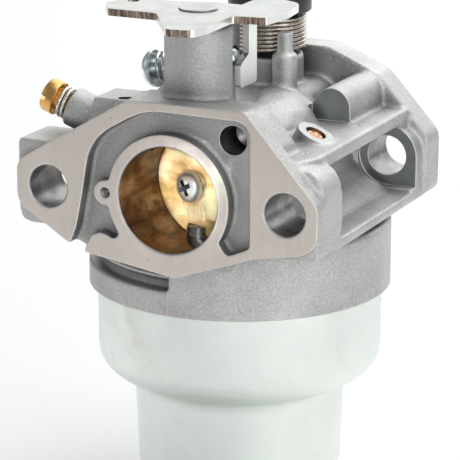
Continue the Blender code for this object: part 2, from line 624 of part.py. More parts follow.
def make_choke_lever(parts, helpers):
    """Moulded hub and arm on top of the choke shaft."""
    hub = [(SHAFT_R + 0.02, 18.0), (5.0, 18.0), (5.0, 24.6), (7.3, 24.9), (7.3, 29.4), (6.6, 30.0),
           (SHAFT_R + 0.02, 30.0), (SHAFT_R + 0.02, 18.0)]
    lever = add_object("choke_lever", revolve(hub, (0, CHOKE_Y, 0), (0, 0, 1), 32), parts, False,
                       (0, CHOKE_Y, 0))
    arm = rounded([(-4.0, CHOKE_Y - 5.8, 1.0), (-4.0, CHOKE_Y + 3.0, 1.0), (-17.0, CHOKE_Y + 1.5, 2.0),
                   (-17.0, CHOKE_Y - 3.5, 2.0)])
    blade = add_object("solid_choke_arm", prism(arm, 27.2, 29.6, "z"), helpers)
    boolean(lever, "UNION", [blade], "arm")
    return lever


# ---------------------------------------------------------------- adjusting screws, jets, inlet
def make_screws(parts, helpers):
    pilot = [(0, -5.4), (2.2, -5.4), (2.95, -4.8), (2.95, -2.85), (1.95, -2.85), (1.95, 8.2),
             (0.75, 8.6), (0.65, 12.0), (0.2, 16.0), (0, 16.0)]
    screw = add_object("pilot_screw", revolve(pilot, PILOT_MOUTH, PILOT_DIR, 20), parts, False,
                       PILOT_MOUTH)
    slot = add_object("cut_pilot_slot", box(-0.45, 0.45, -4, 4, -1.0, 1.2), helpers)
    slot.rotation_euler = Vector((0, 0, 1)).rotation_difference(PILOT_DIR).to_euler()
    slot.location = (PILOT_MOUTH - PILOT_DIR * 5.4) * MM
    boolean(screw, "DIFFERENCE", [slot], "slot")
    coil("pilot_screw_spring", parts, PILOT_MOUTH - PILOT_DIR * 2.4, PILOT_DIR, 2.45, 0.34, 0.86, 2.2,
         14, 6)
    stop = [(0, -2.3), (1.7, -2.3), (2.7, -1.7), (3.2, -0.8), (3.2, 0.0), (1.75, 0.0),
            (1.75, STOP_LENGTH), (0.9, STOP_LENGTH + 0.7), (0, STOP_LENGTH + 0.7)]
    stop_screw = add_object("stop_screw", revolve(stop, STOP_HEAD, STOP_DIR, 20), parts, False,
                            STOP_HEAD)
    cross = add_object("cut_stop_slot", box(-0.5, 0.5, -4, 4, -1.0, 1.1), helpers)
    cross.rotation_euler = Vector((0, 0, 1)).rotation_difference(STOP_DIR).to_euler()
    cross.location = (STOP_HEAD - STOP_DIR * 2.3) * MM
    boolean(stop_screw, "DIFFERENCE", [cross], "slot")
    coil("stop_screw_spring", parts, STOP_HEAD + STOP_DIR * 0.5, STOP_DIR, 2.5, 0.37, 1.15, 2.9, 14, 6)


def make_small_parts(parts):
    jet_dir = Vector((0.4226, 0, 0.9063))
    jet_top = Vector((15.9, 18.6, 4.0)) + jet_dir * 5.9
    jet = [(0, -4.8), (1.5, -4.8), (1.5, -0.5), (1.2, -0.2), (0, -0.2)]
    add_object("pilot_jet", revolve(jet, jet_top, jet_dir, 16), parts, True)
    for name, x in (("main_air_jet", -6.3), ("pilot_air_jet", 6.3)):
        ring = [(0.45, 0), (1.4, 0), (1.4, 3.2), (0.45, 3.2), (0.45, 0)]
        add_object(name, revolve(ring, (x, 49.0, 10.9), (0, 1, 0), 14), parts, True)
    plug = [(0, 0), (0.95, 0), (0.95, 1.4), (0.6, 1.75), (0, 1.9)]
    add_object("ball_plug", revolve(plug, (-9.6, 4.9, 12.7), (0, 0, 1), 12), parts, True)
    inlet, direction = inlet_frame()
    pipe = [(1.4, 0.5), (2.4, 0.5), (2.4, 12.6), (2.8, 13.2), (2.4, 15.4), (2.1, 16.0), (1.4, 16.0),
            (1.4, 0.5)]
    add_object("fuel_inlet", revolve(pipe, inlet, direction, 20), parts, True)


# ---------------------------------------------------------------- materials
LOOKS = {
    "body": ((0.55, 0.55, 0.54), 1.0, 0.45),
    "float_bowl": ((0.78, 0.82, 0.78), 0.8, 0.35),
    "bowl_gasket": ((0.03, 0.03, 0.03), 0.0, 0.6),
    "float": ((0.10, 0.10, 0.11), 0.0, 0.5),
    "float_pin": ((0.7, 0.7, 0.7), 1.0, 0.3),
    "float_needle": ((0.6, 0.6, 0.6), 1.0, 0.35),
    "needle_seat": ((0.79, 0.58, 0.25), 1.0, 0.3),
    "main_nozzle": ((0.79, 0.58, 0.25), 1.0, 0.3),
    "main_jet": ((0.79, 0.58, 0.25), 1.0, 0.3),
    "bowl_washer": ((0.06, 0.06, 0.06), 0.0, 0.6),
    "bowl_bolt": ((0.75, 0.76, 0.74), 1.0, 0.3),
    "throttle_shaft": ((0.32, 0.35, 0.36), 1.0, 0.35),
    "throttle_lever": ((0.8, 0.8, 0.77), 1.0, 0.35),
    "throttle_disc": ((0.75, 0.58, 0.30), 1.0, 0.25),
    "throttle_screw": ((0.78, 0.80, 0.82), 1.0, 0.25),
    "lock_washer": ((0.72, 0.70, 0.62), 1.0, 0.3),
    "throttle_seal": ((0.05, 0.05, 0.05), 0.0, 0.6),
    "choke_shaft": ((0.45, 0.46, 0.47), 1.0, 0.35),
    "choke_disc": ((0.78, 0.78, 0.74), 1.0, 0.3),
    "choke_screw": ((0.78, 0.80, 0.82), 1.0, 0.25),
    "choke_lever": ((0.02, 0.02, 0.02), 0.0, 0.4),
    "choke_spring": ((0.62, 0.56, 0.48), 1.0, 0.3),
    "pilot_screw": ((0.80, 0.57, 0.22), 1.0, 0.25),
    "pilot_screw_spring": ((0.75, 0.75, 0.70), 1.0, 0.25),
    "stop_screw": ((0.78, 0.80, 0.80), 1.0, 0.25),
    "stop_screw_spring": ((0.75, 0.76, 0.74), 1.0, 0.25),
    "pilot_jet": ((0.72, 0.46, 0.24), 1.0, 0.25),
    "main_air_jet": ((0.79, 0.58, 0.25), 1.0, 0.3),
    "pilot_air_jet": ((0.79, 0.58, 0.25), 1.0, 0.3),
    "ball_plug": ((0.60, 0.32, 0.17), 1.0, 0.3),
    "fuel_inlet": ((0.79, 0.58, 0.25), 1.0, 0.3),
}


def main():
    clear_scene()
    parts = new_collection(NAME)
    helpers = new_collection("helpers", hidden=True)
    make_body(parts, helpers)
    make_bowl_side(parts, helpers)
    make_throttle(parts, helpers)
    make_choke(parts, helpers)
    make_screws(parts, helpers)
    make_small_parts(parts)
    for obj in parts.objects:
        obj.data.materials.clear()
        obj.data.materials.append(material(obj.name, *LOOKS[obj.name]))


main()
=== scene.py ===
"""Looks of the carburetor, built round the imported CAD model.

Lengths are in mm until a mesh is made.
"""

import math

import bmesh
import bpy
import numpy as np
from mathutils import Matrix, Vector


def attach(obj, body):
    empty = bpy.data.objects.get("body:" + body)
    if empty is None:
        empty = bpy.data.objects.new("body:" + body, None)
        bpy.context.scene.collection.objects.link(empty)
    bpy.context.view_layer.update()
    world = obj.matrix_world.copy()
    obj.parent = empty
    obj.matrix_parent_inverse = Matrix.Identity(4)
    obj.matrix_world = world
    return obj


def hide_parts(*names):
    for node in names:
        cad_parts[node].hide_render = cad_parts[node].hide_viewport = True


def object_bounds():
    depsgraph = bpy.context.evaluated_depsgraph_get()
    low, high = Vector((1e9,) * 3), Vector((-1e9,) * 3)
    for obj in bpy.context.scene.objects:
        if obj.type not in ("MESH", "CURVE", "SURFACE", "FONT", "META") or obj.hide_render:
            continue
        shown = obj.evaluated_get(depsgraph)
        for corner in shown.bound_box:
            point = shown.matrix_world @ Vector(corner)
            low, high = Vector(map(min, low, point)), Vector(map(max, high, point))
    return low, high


MM = 0.001
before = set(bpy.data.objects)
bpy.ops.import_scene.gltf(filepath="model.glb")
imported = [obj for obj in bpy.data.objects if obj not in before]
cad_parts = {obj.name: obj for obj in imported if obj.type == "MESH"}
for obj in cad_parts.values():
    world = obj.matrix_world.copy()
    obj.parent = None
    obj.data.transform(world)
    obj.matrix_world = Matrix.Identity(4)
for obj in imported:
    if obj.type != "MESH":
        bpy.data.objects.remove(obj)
cad_low, cad_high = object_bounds()

# Sizes shared with the CAD model
BORE_R, THROAT_R, INTAKE_R = 9.0, 7.0, 10.8
REAR_FACE, REAR_FRONT, REAR_LUG = 52.6, 47.2, 44.2
PLATE_T = 3.6
STUD_X, STUD_R = (-22.2, 21.0), 3.55
MIRROR_X = -1.2
THROTTLE_Y, CHOKE_Y = 11.9, 40.5
SHAFT_R, SHAFT_HOLE_R = 2.0, 2.06
DISC_TILT, DISC_T = math.radians(19.0), 0.8
LEVER_Z, LEVER_T = 28.65, 1.2
BOWL_Y, BOWL_R, CUP_R, BOWL_WALL = 28.4, 24.8, 18.4, 0.9
SKIRT_R, SKIRT_BOTTOM = 26.3, -20.55
BOWL_TOP, BOWL_BOTTOM = -18.9, -57.0
PIN_Y, PIN_Z, NEEDLE_Y = 43.6, -15.6, 38.6
PILOT_MOUTH = Vector((-21.4, 8.0, 12.1))
PILOT_DIR = Vector((math.cos(math.radians(20)), 0.0, -math.sin(math.radians(20))))
STOP_HEAD = Vector((-10.7, 18.0, 17.7))
STOP_DIR = Vector((math.cos(math.radians(12)), 0.0, math.sin(math.radians(12))))
STOP_LENGTH = 14.75
JET_DIR = Vector((0.4226, 0.0, 0.9063))
JET_BASE = Vector((15.9, 18.6, 4.0))
JET_TOP = JET_BASE + JET_DIR * 5.9
DISC_PLACE = Matrix.Translation((0, THROTTLE_Y, 0)) @ Matrix.Rotation(-DISC_TILT, 4, "Z")
LEVER_TOP = LEVER_Z + LEVER_T
PARTING_X, PARTING_TOP, PARTING_BACK = -1.1, -10.8, 9.0
MASK_SAMPLES = 6
UP, ALONG, ACROSS = (0, 0, 1), (0, 1, 0), (1, 0, 0)


# ---------------------------------------------------------------- shapes
def arc(cx, cy, radius, start, end, steps):
    angles = [math.radians(start + (end - start) * i / steps) for i in range(steps + 1)]
    return [(cx + radius * math.cos(a), cy + radius * math.sin(a)) for a in angles]


def rounded(corners, step=9.0):
    """Outline through (x, y, radius) corners, each turned into an arc."""
    out = []
    count = len(corners)
    for i, (x, y, radius) in enumerate(corners):
        here = Vector((x, y))
        before = Vector(corners[i - 1][:2]) - here
        after = Vector(corners[(i + 1) % count][:2]) - here
        if radius <= 0:
            out.append((x, y))
            continue
        before.normalize()
        after.normalize()
        half = before.angle(after) / 2
        reach = radius / math.tan(half)
        centre = here + (before + after).normalized() * radius / math.sin(half)
        a = here + before * reach - centre
        b = here + after * reach - centre
        turn = math.atan2(a.x * b.y - a.y * b.x, a.dot(b))
        steps = max(1, round(abs(math.degrees(turn)) / step))
        for k in range(steps + 1):
            c, s = math.cos(turn * k / steps), math.sin(turn * k / steps)
            out.append((centre.x + a.x * c - a.y * s, centre.y + a.x * s + a.y * c))
    return out


def prism(outline, low, high, axis="y"):
    """Solid between two parallel copies of an outline: XZ along y, XY along z, YZ along x."""
    place = {
        "y": lambda p, h: (p[0], h, p[1]),
        "z": lambda p, h: (p[0], p[1], h),
        "x": lambda p, h: (h, p[0], p[1]),
    }[axis]
    bm = bmesh.new()
    a = [bm.verts.new(place(p, low)) for p in outline]
    b = [bm.verts.new(place(p, high)) for p in outline]
    bm.faces.new(a)
    bm.faces.new(list(reversed(b)))
    for i in range(len(outline)):
        j = (i + 1) % len(outline)
        bm.faces.new((a[j], a[i], b[i], b[j]))
    return bm


def box(x0, x1, y0, y1, z0, z1):
    return prism([(x0, z0), (x1, z0), (x1, z1), (x0, z1)], y0, y1)


def turned_to(bm, base, direction):
    """Stands a shape built along Z on a base point, along a direction."""
    turn = Vector(UP).rotation_difference(Vector(direction)).to_matrix().to_4x4()
    bmesh.ops.transform(bm, matrix=Matrix.Translation(Vector(base)) @ turn, verts=bm.verts)
    return bm


def revolve(profile, base, direction, segments=64, thread=None):
    """Solid of revolution from (radius, height) points; thread is (low, high, pitch, depth)."""
    if thread:
        profile = thread_stations(profile, thread)
    bm = bmesh.new()
    rings = []
    for radius, height in profile:
        if radius < 1e-6:
            rings.append([bm.verts.new((0, 0, height))])
            continue
        ring = []
        for k in range(segments):
            turn = 2 * math.pi * k / segments
            r = radius - thread_depth(height, turn, thread)
            ring.append(bm.verts.new((r * math.cos(turn), r * math.sin(turn), height)))
        rings.append(ring)
    if profile[0] == profile[-1]:
        for vert in rings[-1]:
            bm.verts.remove(vert)
        rings[-1] = rings[0]
    for lower, upper in zip(rings, rings[1:]):
        for k in range(segments):
            n = (k + 1) % segments
            corners = [lower[k % len(lower)], lower[n % len(lower)],
                       upper[n % len(upper)], upper[k % len(upper)]]
            kept = list(dict.fromkeys(corners))
            if len(kept) > 2:
                bm.faces.new(kept)
    return turned_to(bm, base, direction)


def thread_stations(profile, thread):
    """Adds points along the threaded stretch, eight to a turn."""
    low, high, pitch, _ = thread
    out = []
    for (r0, h0), (r1, h1) in zip(profile, profile[1:]):
        out.append((r0, h0))
        if h0 >= low - 1e-6 and h1 <= high + 1e-6 and abs(h1 - h0) > pitch / 2:
            steps = max(2, int(8 * abs(h1 - h0) / pitch))
            out += [(r0 + (r1 - r0) * i / steps, h0 + (h1 - h0) * i / steps)
                    for i in range(1, steps)]
    return out + [profile[-1]]


def thread_depth(height, turn, thread):
    if not thread or not thread[0] < height < thread[1]:
        return 0.0
    low, high, pitch, depth = thread
    wave = abs(((height / pitch - turn / (2 * math.pi)) % 1.0) - 0.5) * 2
    fade = min(1.0, (height - low) / pitch, (high - height) / pitch)
    return depth * wave * fade


def rod(base, direction, radius, length, segments=64):
    profile = [(0, 0), (radius, 0), (radius, length), (0, length)]
    return revolve(profile, base, direction, segments)


def skin(bm, rings):
    """Closes a row of vertex rings into a solid with two flat ends."""
    for lower, upper in zip(rings, rings[1:]):
        for k in range(len(lower)):
            n = (k + 1) % len(lower)
            bm.faces.new((lower[k], lower[n], upper[n], upper[k]))
    bm.faces.new(list(reversed(rings[0])))
    bm.faces.new(rings[-1])
    return bm


def coil(base, direction, radius, wire, pitch, turns, sides=12, steps=40, phase=0.0):
    """Round-wire helical spring with closed, slightly tapered ends."""
    bm = bmesh.new()
    rings = []
    total = int(steps * turns)
    slope = math.atan2(pitch, 2 * math.pi * radius)
    for i in range(total + 1):
        turn = 2 * math.pi * i / steps + phase
        out = Vector((math.cos(turn), math.sin(turn), 0))
        lift = Vector((math.sin(turn) * math.sin(slope), -math.cos(turn) * math.sin(slope),
                       math.cos(slope)))
        centre = out * radius + Vector((0, 0, pitch * i / steps))
        rings.append([
            bm.verts.new(centre + (out * math.cos(a) + lift * math.sin(a)) * wire)
            for a in (2 * math.pi * k / sides for k in range(sides))
        ])
    return turned_to(skin(bm, rings), base, direction)


def ball(centre, radius, scale=(1, 1, 1)):
    bm = bmesh.new()
    bmesh.ops.create_icosphere(bm, subdivisions=3, radius=radius)
    bmesh.ops.scale(bm, vec=scale, verts=bm.verts)
    bmesh.ops.translate(bm, vec=centre, verts=bm.verts)
    return bm


def tapered(outline, low, high, shrink):
    """Prism along Z whose lower copy is scaled towards the axis."""
    bm = bmesh.new()
    a = [bm.verts.new((x * shrink, y * shrink, low)) for x, y in outline]
    b = [bm.verts.new((x, y, high)) for x, y in outline]
    bm.faces.new(list(reversed(a)))
    bm.faces.new(b)
    for i in range(len(outline)):
        j = (i + 1) % len(outline)
        bm.faces.new((a[i], a[j], b[j], b[i]))
    return bm


# ---------------------------------------------------------------- objects
def to_object(name, shapes, slot=0):
    """One object in metres from one or more bmeshes in mm, all faces in one material slot."""
    shapes = shapes if isinstance(shapes, list) else [shapes]
    whole = bmesh.new()
    for bm in shapes:
        bmesh.ops.remove_doubles(bm, verts=bm.verts, dist=1e-5)
        bmesh.ops.recalc_face_normals(bm, faces=bm.faces)
        part = bpy.data.meshes.new("part")
        bm.to_mesh(part)
        bm.free()
        whole.from_mesh(part)
        bpy.data.meshes.remove(part)
    bmesh.ops.scale(whole, verts=whole.verts, vec=(MM, MM, MM))
    mesh = bpy.data.meshes.new(name)
    whole.to_mesh(mesh)
    whole.free()
    if slot:
        mesh.polygons.foreach_set("material_index", [slot] * len(mesh.polygons))
    obj = bpy.data.objects.new(name, mesh)
    bpy.context.scene.collection.objects.link(obj)
    return obj


def modify(obj, kind, **settings):
    """Adds one modifier with these settings and applies it."""
    modifier = obj.modifiers.new(kind, kind)
    for key, value in settings.items():
        setattr(modifier, key, value)
    bpy.context.view_layer.update()
    graph = bpy.context.evaluated_depsgraph_get()
    old = obj.data
    obj.data = bpy.data.meshes.new_from_object(obj.evaluated_get(graph))
    obj.modifiers.clear()
    obj.data.name = obj.name
    bpy.data.meshes.remove(old)
    return obj


def drop(objects):
    for obj in objects:
        mesh = obj.data
        bpy.data.objects.remove(obj, do_unlink=True)
        bpy.data.meshes.remove(mesh)


def move(obj, place):
    """Moves a made object's mesh by a matrix given in mm."""
    obj.data.transform(Matrix.Scale(MM, 4) @ place @ Matrix.Scale(1 / MM, 4))


def boolean(obj, shapes, operation="DIFFERENCE", solver="EXACT", slot=0):
    """One Boolean with a group of shapes, applied; the new faces take the shapes' slot."""
    group = bpy.data.collections.new("operands")
    bpy.context.scene.collection.children.link(group)
    made = [to_object(f"operand_{i}", bm, slot) for i, bm in enumerate(shapes)]
    for operand in made:
        for material in obj.data.materials:
            operand.data.materials.append(material)
        bpy.context.scene.collection.objects.unlink(operand)
        group.objects.link(operand)
    modify(obj, "BOOLEAN", operation=operation, solver=solver, operand_type="COLLECTION",
           collection=group)
    drop(made)
    bpy.data.collections.remove(group)
    return obj


def bevel(obj, width, segments=2, angle=35):
    return modify(obj, "BEVEL", width=width * MM, segments=segments, limit_method="ANGLE",
                  angle_limit=math.radians(angle))


def shade(obj, angle=35):
    mesh = obj.data
    mesh.polygons.foreach_set("use_smooth", np.ones(len(mesh.polygons), bool))
    mesh.set_sharp_from_angle(angle=math.radians(angle))
    return obj


def finish_piece(obj, materials, body, node, angle=35):
    """Shades a piece, gives it its materials and puts it on its body in place of its CAD node."""
    shade(obj, angle)
    faces = [p.material_index for p in obj.data.polygons]
    obj.data.materials.clear()
    for material in materials:
        obj.data.materials.append(material)
    obj.data.polygons.foreach_set("material_index", faces)
    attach(obj, body)
    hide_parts(node)
    return obj


def mirrored(corners):
    return [(MIRROR_X - p[0], *p[1:]) for p in reversed(corners)]


# ---------------------------------------------------------------- materials
class Paint:
    """Builds a Principled material from object-space patterns."""

    def __init__(self, name, metallic=1.0):
        self.material = bpy.data.materials.new(name)
        self.material.use_nodes = True
        self.tree = self.material.node_tree
        self.shader = self.tree.nodes["Principled BSDF"]
        self.shader.inputs["Metallic"].default_value = metallic
        self.coords = self.add("ShaderNodeTexCoord").outputs["Object"]

    def put(self, value, socket):
        """Gives a socket a number, a vector or colour, or another node's output."""
        if isinstance(value, (int, float)):
            socket.default_value = value
        elif isinstance(value, tuple):
            socket.default_value = (*value, 1.0) if socket.type == "RGBA" else value
        else:
            self.tree.links.new(value, socket)

    def add(self, kind, **values):
        """New node, with values put into its inputs by name."""
        node = self.tree.nodes.new(kind)
        for key, value in values.items():
            self.put(value, node.inputs[key])
        return node

    def stretched(self, scale, turn=(0, 0, 0), place=(0, 0, 0)):
        return self.add("ShaderNodeMapping", Vector=self.coords, Scale=scale, Rotation=turn,
                        Location=place).outputs["Vector"]

    def noise(self, size_mm, detail=3.0, rough=0.55, vector=None, distortion=0.0):
        return self.add("ShaderNodeTexNoise", Vector=vector or self.coords, Scale=1000.0 / size_mm,
                        Detail=detail, Roughness=rough, Distortion=distortion).outputs["Fac"]

    def axis(self, name):
        return self.add("ShaderNodeSeparateXYZ", Vector=self.coords).outputs[name]

    def maths(self, operation, a, b=None):
        node = self.add("ShaderNodeMath")
        node.operation = operation
        self.put(a, node.inputs[0])
        if b is not None:
            self.put(b, node.inputs[1])
        return node.outputs[0]

    def ramp(self, factor, stops):
        """Colour or grey ramp from (position, value) stops."""
        node = self.add("ShaderNodeValToRGB", Fac=factor)
        band = node.color_ramp
        while len(band.elements) < len(stops):
            band.elements.new(0.5)
        for element, (place, value) in zip(band.elements, stops):
            element.position = place
            value = (value, value, value) if isinstance(value, (int, float)) else value
            element.color = (*value, 1.0)
        return node.outputs["Color"]

    def mix(self, factor, a, b, blend="MIX"):
        node = self.add("ShaderNodeMix")
        node.data_type = "RGBA"
        node.blend_type = blend
        for i, value in ((0, factor), (6, a), (7, b)):
            self.put(value, node.inputs[i])
        return node.outputs[2]

    def bump(self, height, depth_mm, strength=1.0, under=None):
        node = self.add("ShaderNodeBump", Height=height, Distance=depth_mm * MM, Strength=strength)
        if under is not None:
            self.put(under, node.inputs["Normal"])
        return node.outputs["Normal"]

    def painted_crevice_shade(self, reach_mm, floor):
        """Painted shade in corners: falls from 1 in the open to floor where little sky is seen."""
        node = self.add("ShaderNodeAmbientOcclusion", Distance=reach_mm * MM)
        node.samples = MASK_SAMPLES
        return self.ramp(node.outputs["AO"], [(0.30, floor), (0.85, 1.0)])

    def soft_edges(self, radius_mm, full, none):
        """Normal rounded near edges, and a mask that is 1 along them."""
        node = self.add("ShaderNodeBevel", Radius=radius_mm * MM)
        node.samples = MASK_SAMPLES
        dot = self.add("ShaderNodeVectorMath")
        dot.operation = "DOT_PRODUCT"
        self.put(node.outputs["Normal"], dot.inputs[0])
        self.put(self.add("ShaderNodeNewGeometry").outputs["Normal"], dot.inputs[1])
        return node.outputs["Normal"], self.ramp(dot.outputs["Value"], [(full, 1.0), (none, 0.0)])

    def done(self, color, roughness=None, normal=None):
        for key, value in (("Base Color", color), ("Roughness", roughness), ("Normal", normal)):
            if value is not None:
                self.put(value, self.shader.inputs[key])
        return self.material


def cast_metal():
    """Die-cast aluminium: grain, dull patches, painted shade in the corners, edges lightened partly
    as wear and partly as painted highlight, a parting burr.
    """
    p = Paint("cast_aluminium")
    grain = p.noise(0.30, 3.0, 0.7)
    patches = p.noise(8.0, 3.0, 0.5)
    color = p.ramp(patches, [(0.3, (0.470, 0.470, 0.462)), (0.7, (0.585, 0.583, 0.572))])
    color = p.mix(0.40, color, p.ramp(grain, [(0.35, 0.22), (0.65, 0.78)]), "OVERLAY")
    # painted shade: colour darkened where corners and recesses would lie in shade
    color = p.mix(1.0, color, p.painted_crevice_shade(5.0, 0.42), "MULTIPLY")
    specks = p.ramp(p.noise(0.8, 2.0, 0.5), [(0.71, 0.0), (0.76, 1.0)])
    color = p.mix(p.maths("MULTIPLY", specks, 0.6), color, (0.86, 0.80, 0.76))
    # edges and fillets lightened, partly as edge wear and partly as a painted highlight where
    # rounded edges catch the light
    rounded_normal, edges = p.soft_edges(0.4, 0.82, 0.985)
    color = p.mix(p.maths("MULTIPLY", edges, 0.75), color, (0.90, 0.90, 0.88))
    off_line = p.maths("ABSOLUTE", p.maths("SUBTRACT", p.axis("X"), PARTING_X * MM))
    on_line = p.ramp(p.maths("MULTIPLY", off_line, 1 / MM), [(0.08, 1.0), (0.20, 0.0)])
    low = p.maths("LESS_THAN", p.axis("Z"), PARTING_TOP * MM)
    near = p.maths("LESS_THAN", p.axis("Y"), PARTING_BACK * MM)
    burr = p.maths("MULTIPLY", on_line, p.maths("MULTIPLY", low, near))
    burr = p.maths("MULTIPLY", burr, p.ramp(p.noise(1.6), [(0.4, 0.2), (0.6, 1.0)]))
    color = p.mix(burr, color, (0.80, 0.64, 0.55))
    rough = p.ramp(grain, [(0.2, 0.46), (0.8, 0.60)])
    normal = p.bump(grain, 0.07, 1.0, rounded_normal)
    normal = p.bump(p.noise(2.6), 0.07, 0.8, normal)
    return p.done(color, rough, normal)


def machined_metal(name, across, light, dark, marks_share, edge):
    """Milled aluminium: faint parallel tool marks, small pores and broken bright lines along the
    edges, burrs whose brightness is a painted highlight.
    """
    p = Paint(name)
    marks = p.noise(0.7, 3.0, 0.6, p.stretched(across))
    fine = p.noise(0.35, 2.0, 0.6, p.stretched(across))
    patches = p.noise(9.0)
    color = p.ramp(patches, [(0.3, dark), (0.7, light)])
    color = p.mix(marks_share, color, p.ramp(marks, [(0.32, 0.36), (0.68, 0.64)]), "OVERLAY")
    dots = p.ramp(p.noise(0.9, 1.0), [(0.23, 1.0), (0.26, 0.0)])
    color = p.mix(p.maths("MULTIPLY", dots, 0.7), color, (0.20, 0.17, 0.15))
    rounded_normal, edges = p.soft_edges(0.42, 0.80, 0.99)
    broken = p.ramp(p.noise(1.1, 4.0, 0.7), [(0.36, 0.15), (0.56, 1.0)])
    # painted highlight: edges lightened in broken lines, as where burrs catch the light
    color = p.mix(p.maths("MULTIPLY", edges, broken), color, (edge, edge, edge * 0.99))
    rough = p.ramp(fine, [(0.2, 0.36), (0.8, 0.50)])
    return p.done(color, rough, p.bump(fine, 0.008, 1.0, rounded_normal))


def smooth_cast_painted_shade():
    """Die face that the tool left smooth: a darker slate grey that is painted shade where it faces
    forwards, with a painted highlight along its edges.
    """
    p = Paint("smooth_cast_painted_shade")
    cloud = p.noise(3.0, 3.0, 0.5)
    color = p.ramp(cloud, [(0.3, (0.330, 0.355, 0.355)), (0.7, (0.390, 0.412, 0.410))])
    rounded_normal, edges = p.soft_edges(0.35, 0.80, 0.99)
    # painted highlight along the edges
    color = p.mix(edges, color, (0.92, 0.92, 0.90))
    grain = p.noise(0.3)
    rough = p.ramp(grain, [(0.2, 0.36), (0.8, 0.48)])
    return p.done(color, rough, p.bump(grain, 0.02, 1.0, rounded_normal))


def bored_metal():
    """Bore wall, polished by the reamer: dark brown with light streaks and darker blotches, which
    are painted shade and painted reflections inside the bore.
    """
    p = Paint("bore_wall")
    rings = p.noise(0.8, 3.0, 0.6, p.stretched((0.25, 3.0, 0.25)))
    streak = p.noise(3.6, 3.0, 0.55, p.stretched((1.0, 0.30, 1.6)), 0.5)
    blotch = p.noise(3.2, 4.0, 0.6, p.stretched((1.0, 0.7, 1.0), place=(0.013, 0.0, 0.021)), 0.8)
    # painted shade and reflection: dark brown base, light streaks as reflected light, darker
    # blotches as shade
    color = p.ramp(streak, [(0.36, (0.24, 0.18, 0.14)), (0.50, (0.49, 0.33, 0.25)),
                            (0.66, (0.70, 0.57, 0.46))])
    color = p.mix(p.ramp(blotch, [(0.34, 0.80), (0.62, 0.0)]), color, (0.13, 0.10, 0.08))
    rough = p.ramp(rings, [(0.3, 0.14), (0.7, 0.24)])
    return p.done(color, rough, p.bump(rings, 0.006))


def drilled_metal():
    p = Paint("drilled_wall_painted_shade")
    rings = p.noise(0.6, 3.0, 0.6, p.stretched((0.3, 3.0, 0.3)))
    patch = p.noise(2.5)
    # dark grey: painted shade inside the drilled holes
    color = p.ramp(patch, [(0.3, (0.17, 0.165, 0.165)), (0.7, (0.34, 0.33, 0.32))])
    return p.done(color, p.ramp(rings, [(0.3, 0.24), (0.7, 0.38)]), p.bump(rings, 0.02))


def zinc(name, light, dark, rough, grain_mm=0.25, patch_mm=3.0, stain=None):
    """Zinc plating: cloudy patches, faint scratches and, if asked for, a few stains."""
    p = Paint(name)
    cloud = p.noise(patch_mm, 4.0, 0.6, distortion=0.4)
    color = p.ramp(cloud, [(0.3, dark), (0.65, light)])
    if stain:
        spots = p.ramp(p.noise(patch_mm * 1.7, 5.0, 0.7), [(0.60, 0.0), (0.74, 1.0)])
        color = p.mix(p.maths("MULTIPLY", spots, 0.55), color, stain)
    scratch = p.noise(0.5, 2.0, 0.5, p.stretched((3.0, 3.0, 0.12), (0.5, 0.7, 0.2)))
    color = p.mix(p.ramp(scratch, [(0.70, 0.0), (0.74, 0.35)]), color, (0.92, 0.93, 0.92))
    grain = p.noise(grain_mm, 2.0)
    roughness = p.ramp(cloud, [(0.2, rough + 0.10), (0.8, rough)])
    return p.done(color, roughness, p.bump(grain, 0.006, 1.0, p.bump(scratch, 0.006)))


def brass(name, light, dark, rough=0.22):
    """Turned brass with fine tool rings and a little tarnish."""
    p = Paint(name)
    tarnish = p.noise(1.8, 4.0, 0.65)
    fine = p.noise(0.18, 2.0)
    color = p.ramp(tarnish, [(0.3, dark), (0.62, light)])
    roughness = p.ramp(fine, [(0.2, rough), (0.8, rough + 0.12)])
    return p.done(color, roughness, p.bump(fine, 0.008))


def brass_sheet():
    """Rolled brass disc: brushed along one direction and part metallic, so it is bright where light
    reaches it, with painted highlight bands across it.
    """
    p = Paint("brass_sheet", metallic=0.4)
    lines = p.noise(0.5, 3.0, 0.6, p.stretched((0.12, 4.0, 4.0), (0.0, 0.10, 0.0)))
    highlight_bands = p.noise(3.0, 2.0, 0.5, p.stretched((0.08, 1.0, 1.0), (0.0, 0.12, 0.0)))
    # painted highlight: light bands across the disc
    color = p.ramp(highlight_bands, [(0.38, (0.52, 0.32, 0.11)), (0.50, (0.92, 0.64, 0.29)),
                           (0.60, (1.0, 0.88, 0.56))])
    return p.done(color, p.ramp(lines, [(0.2, 0.26), (0.8, 0.40)]), p.bump(lines, 0.010))


def wire(name, light, dark):
    """Drawn spring wire."""
    p = Paint(name)
    streak = p.noise(0.6, 3.0, 0.6)
    color = p.ramp(streak, [(0.35, dark), (0.65, light)])
    return p.done(color, p.ramp(p.noise(0.2, 2.0), [(0.2, 0.18), (0.8, 0.32)]),
                  p.bump(p.noise(0.15, 2.0), 0.006))


def moulded(name, light, dark, rough, grain_mm=0.35, depth=0.02):
    """Moulded plastic, rubber or fibre with a fine grain."""
    p = Paint(name, metallic=0.0)
    cloud = p.noise(2.5)
    grain = p.noise(grain_mm)
    color = p.ramp(cloud, [(0.3, dark), (0.7, light)])
    return p.done(color, p.ramp(grain, [(0.2, rough - 0.06), (0.8, rough + 0.1)]),
                  p.bump(grain, depth))


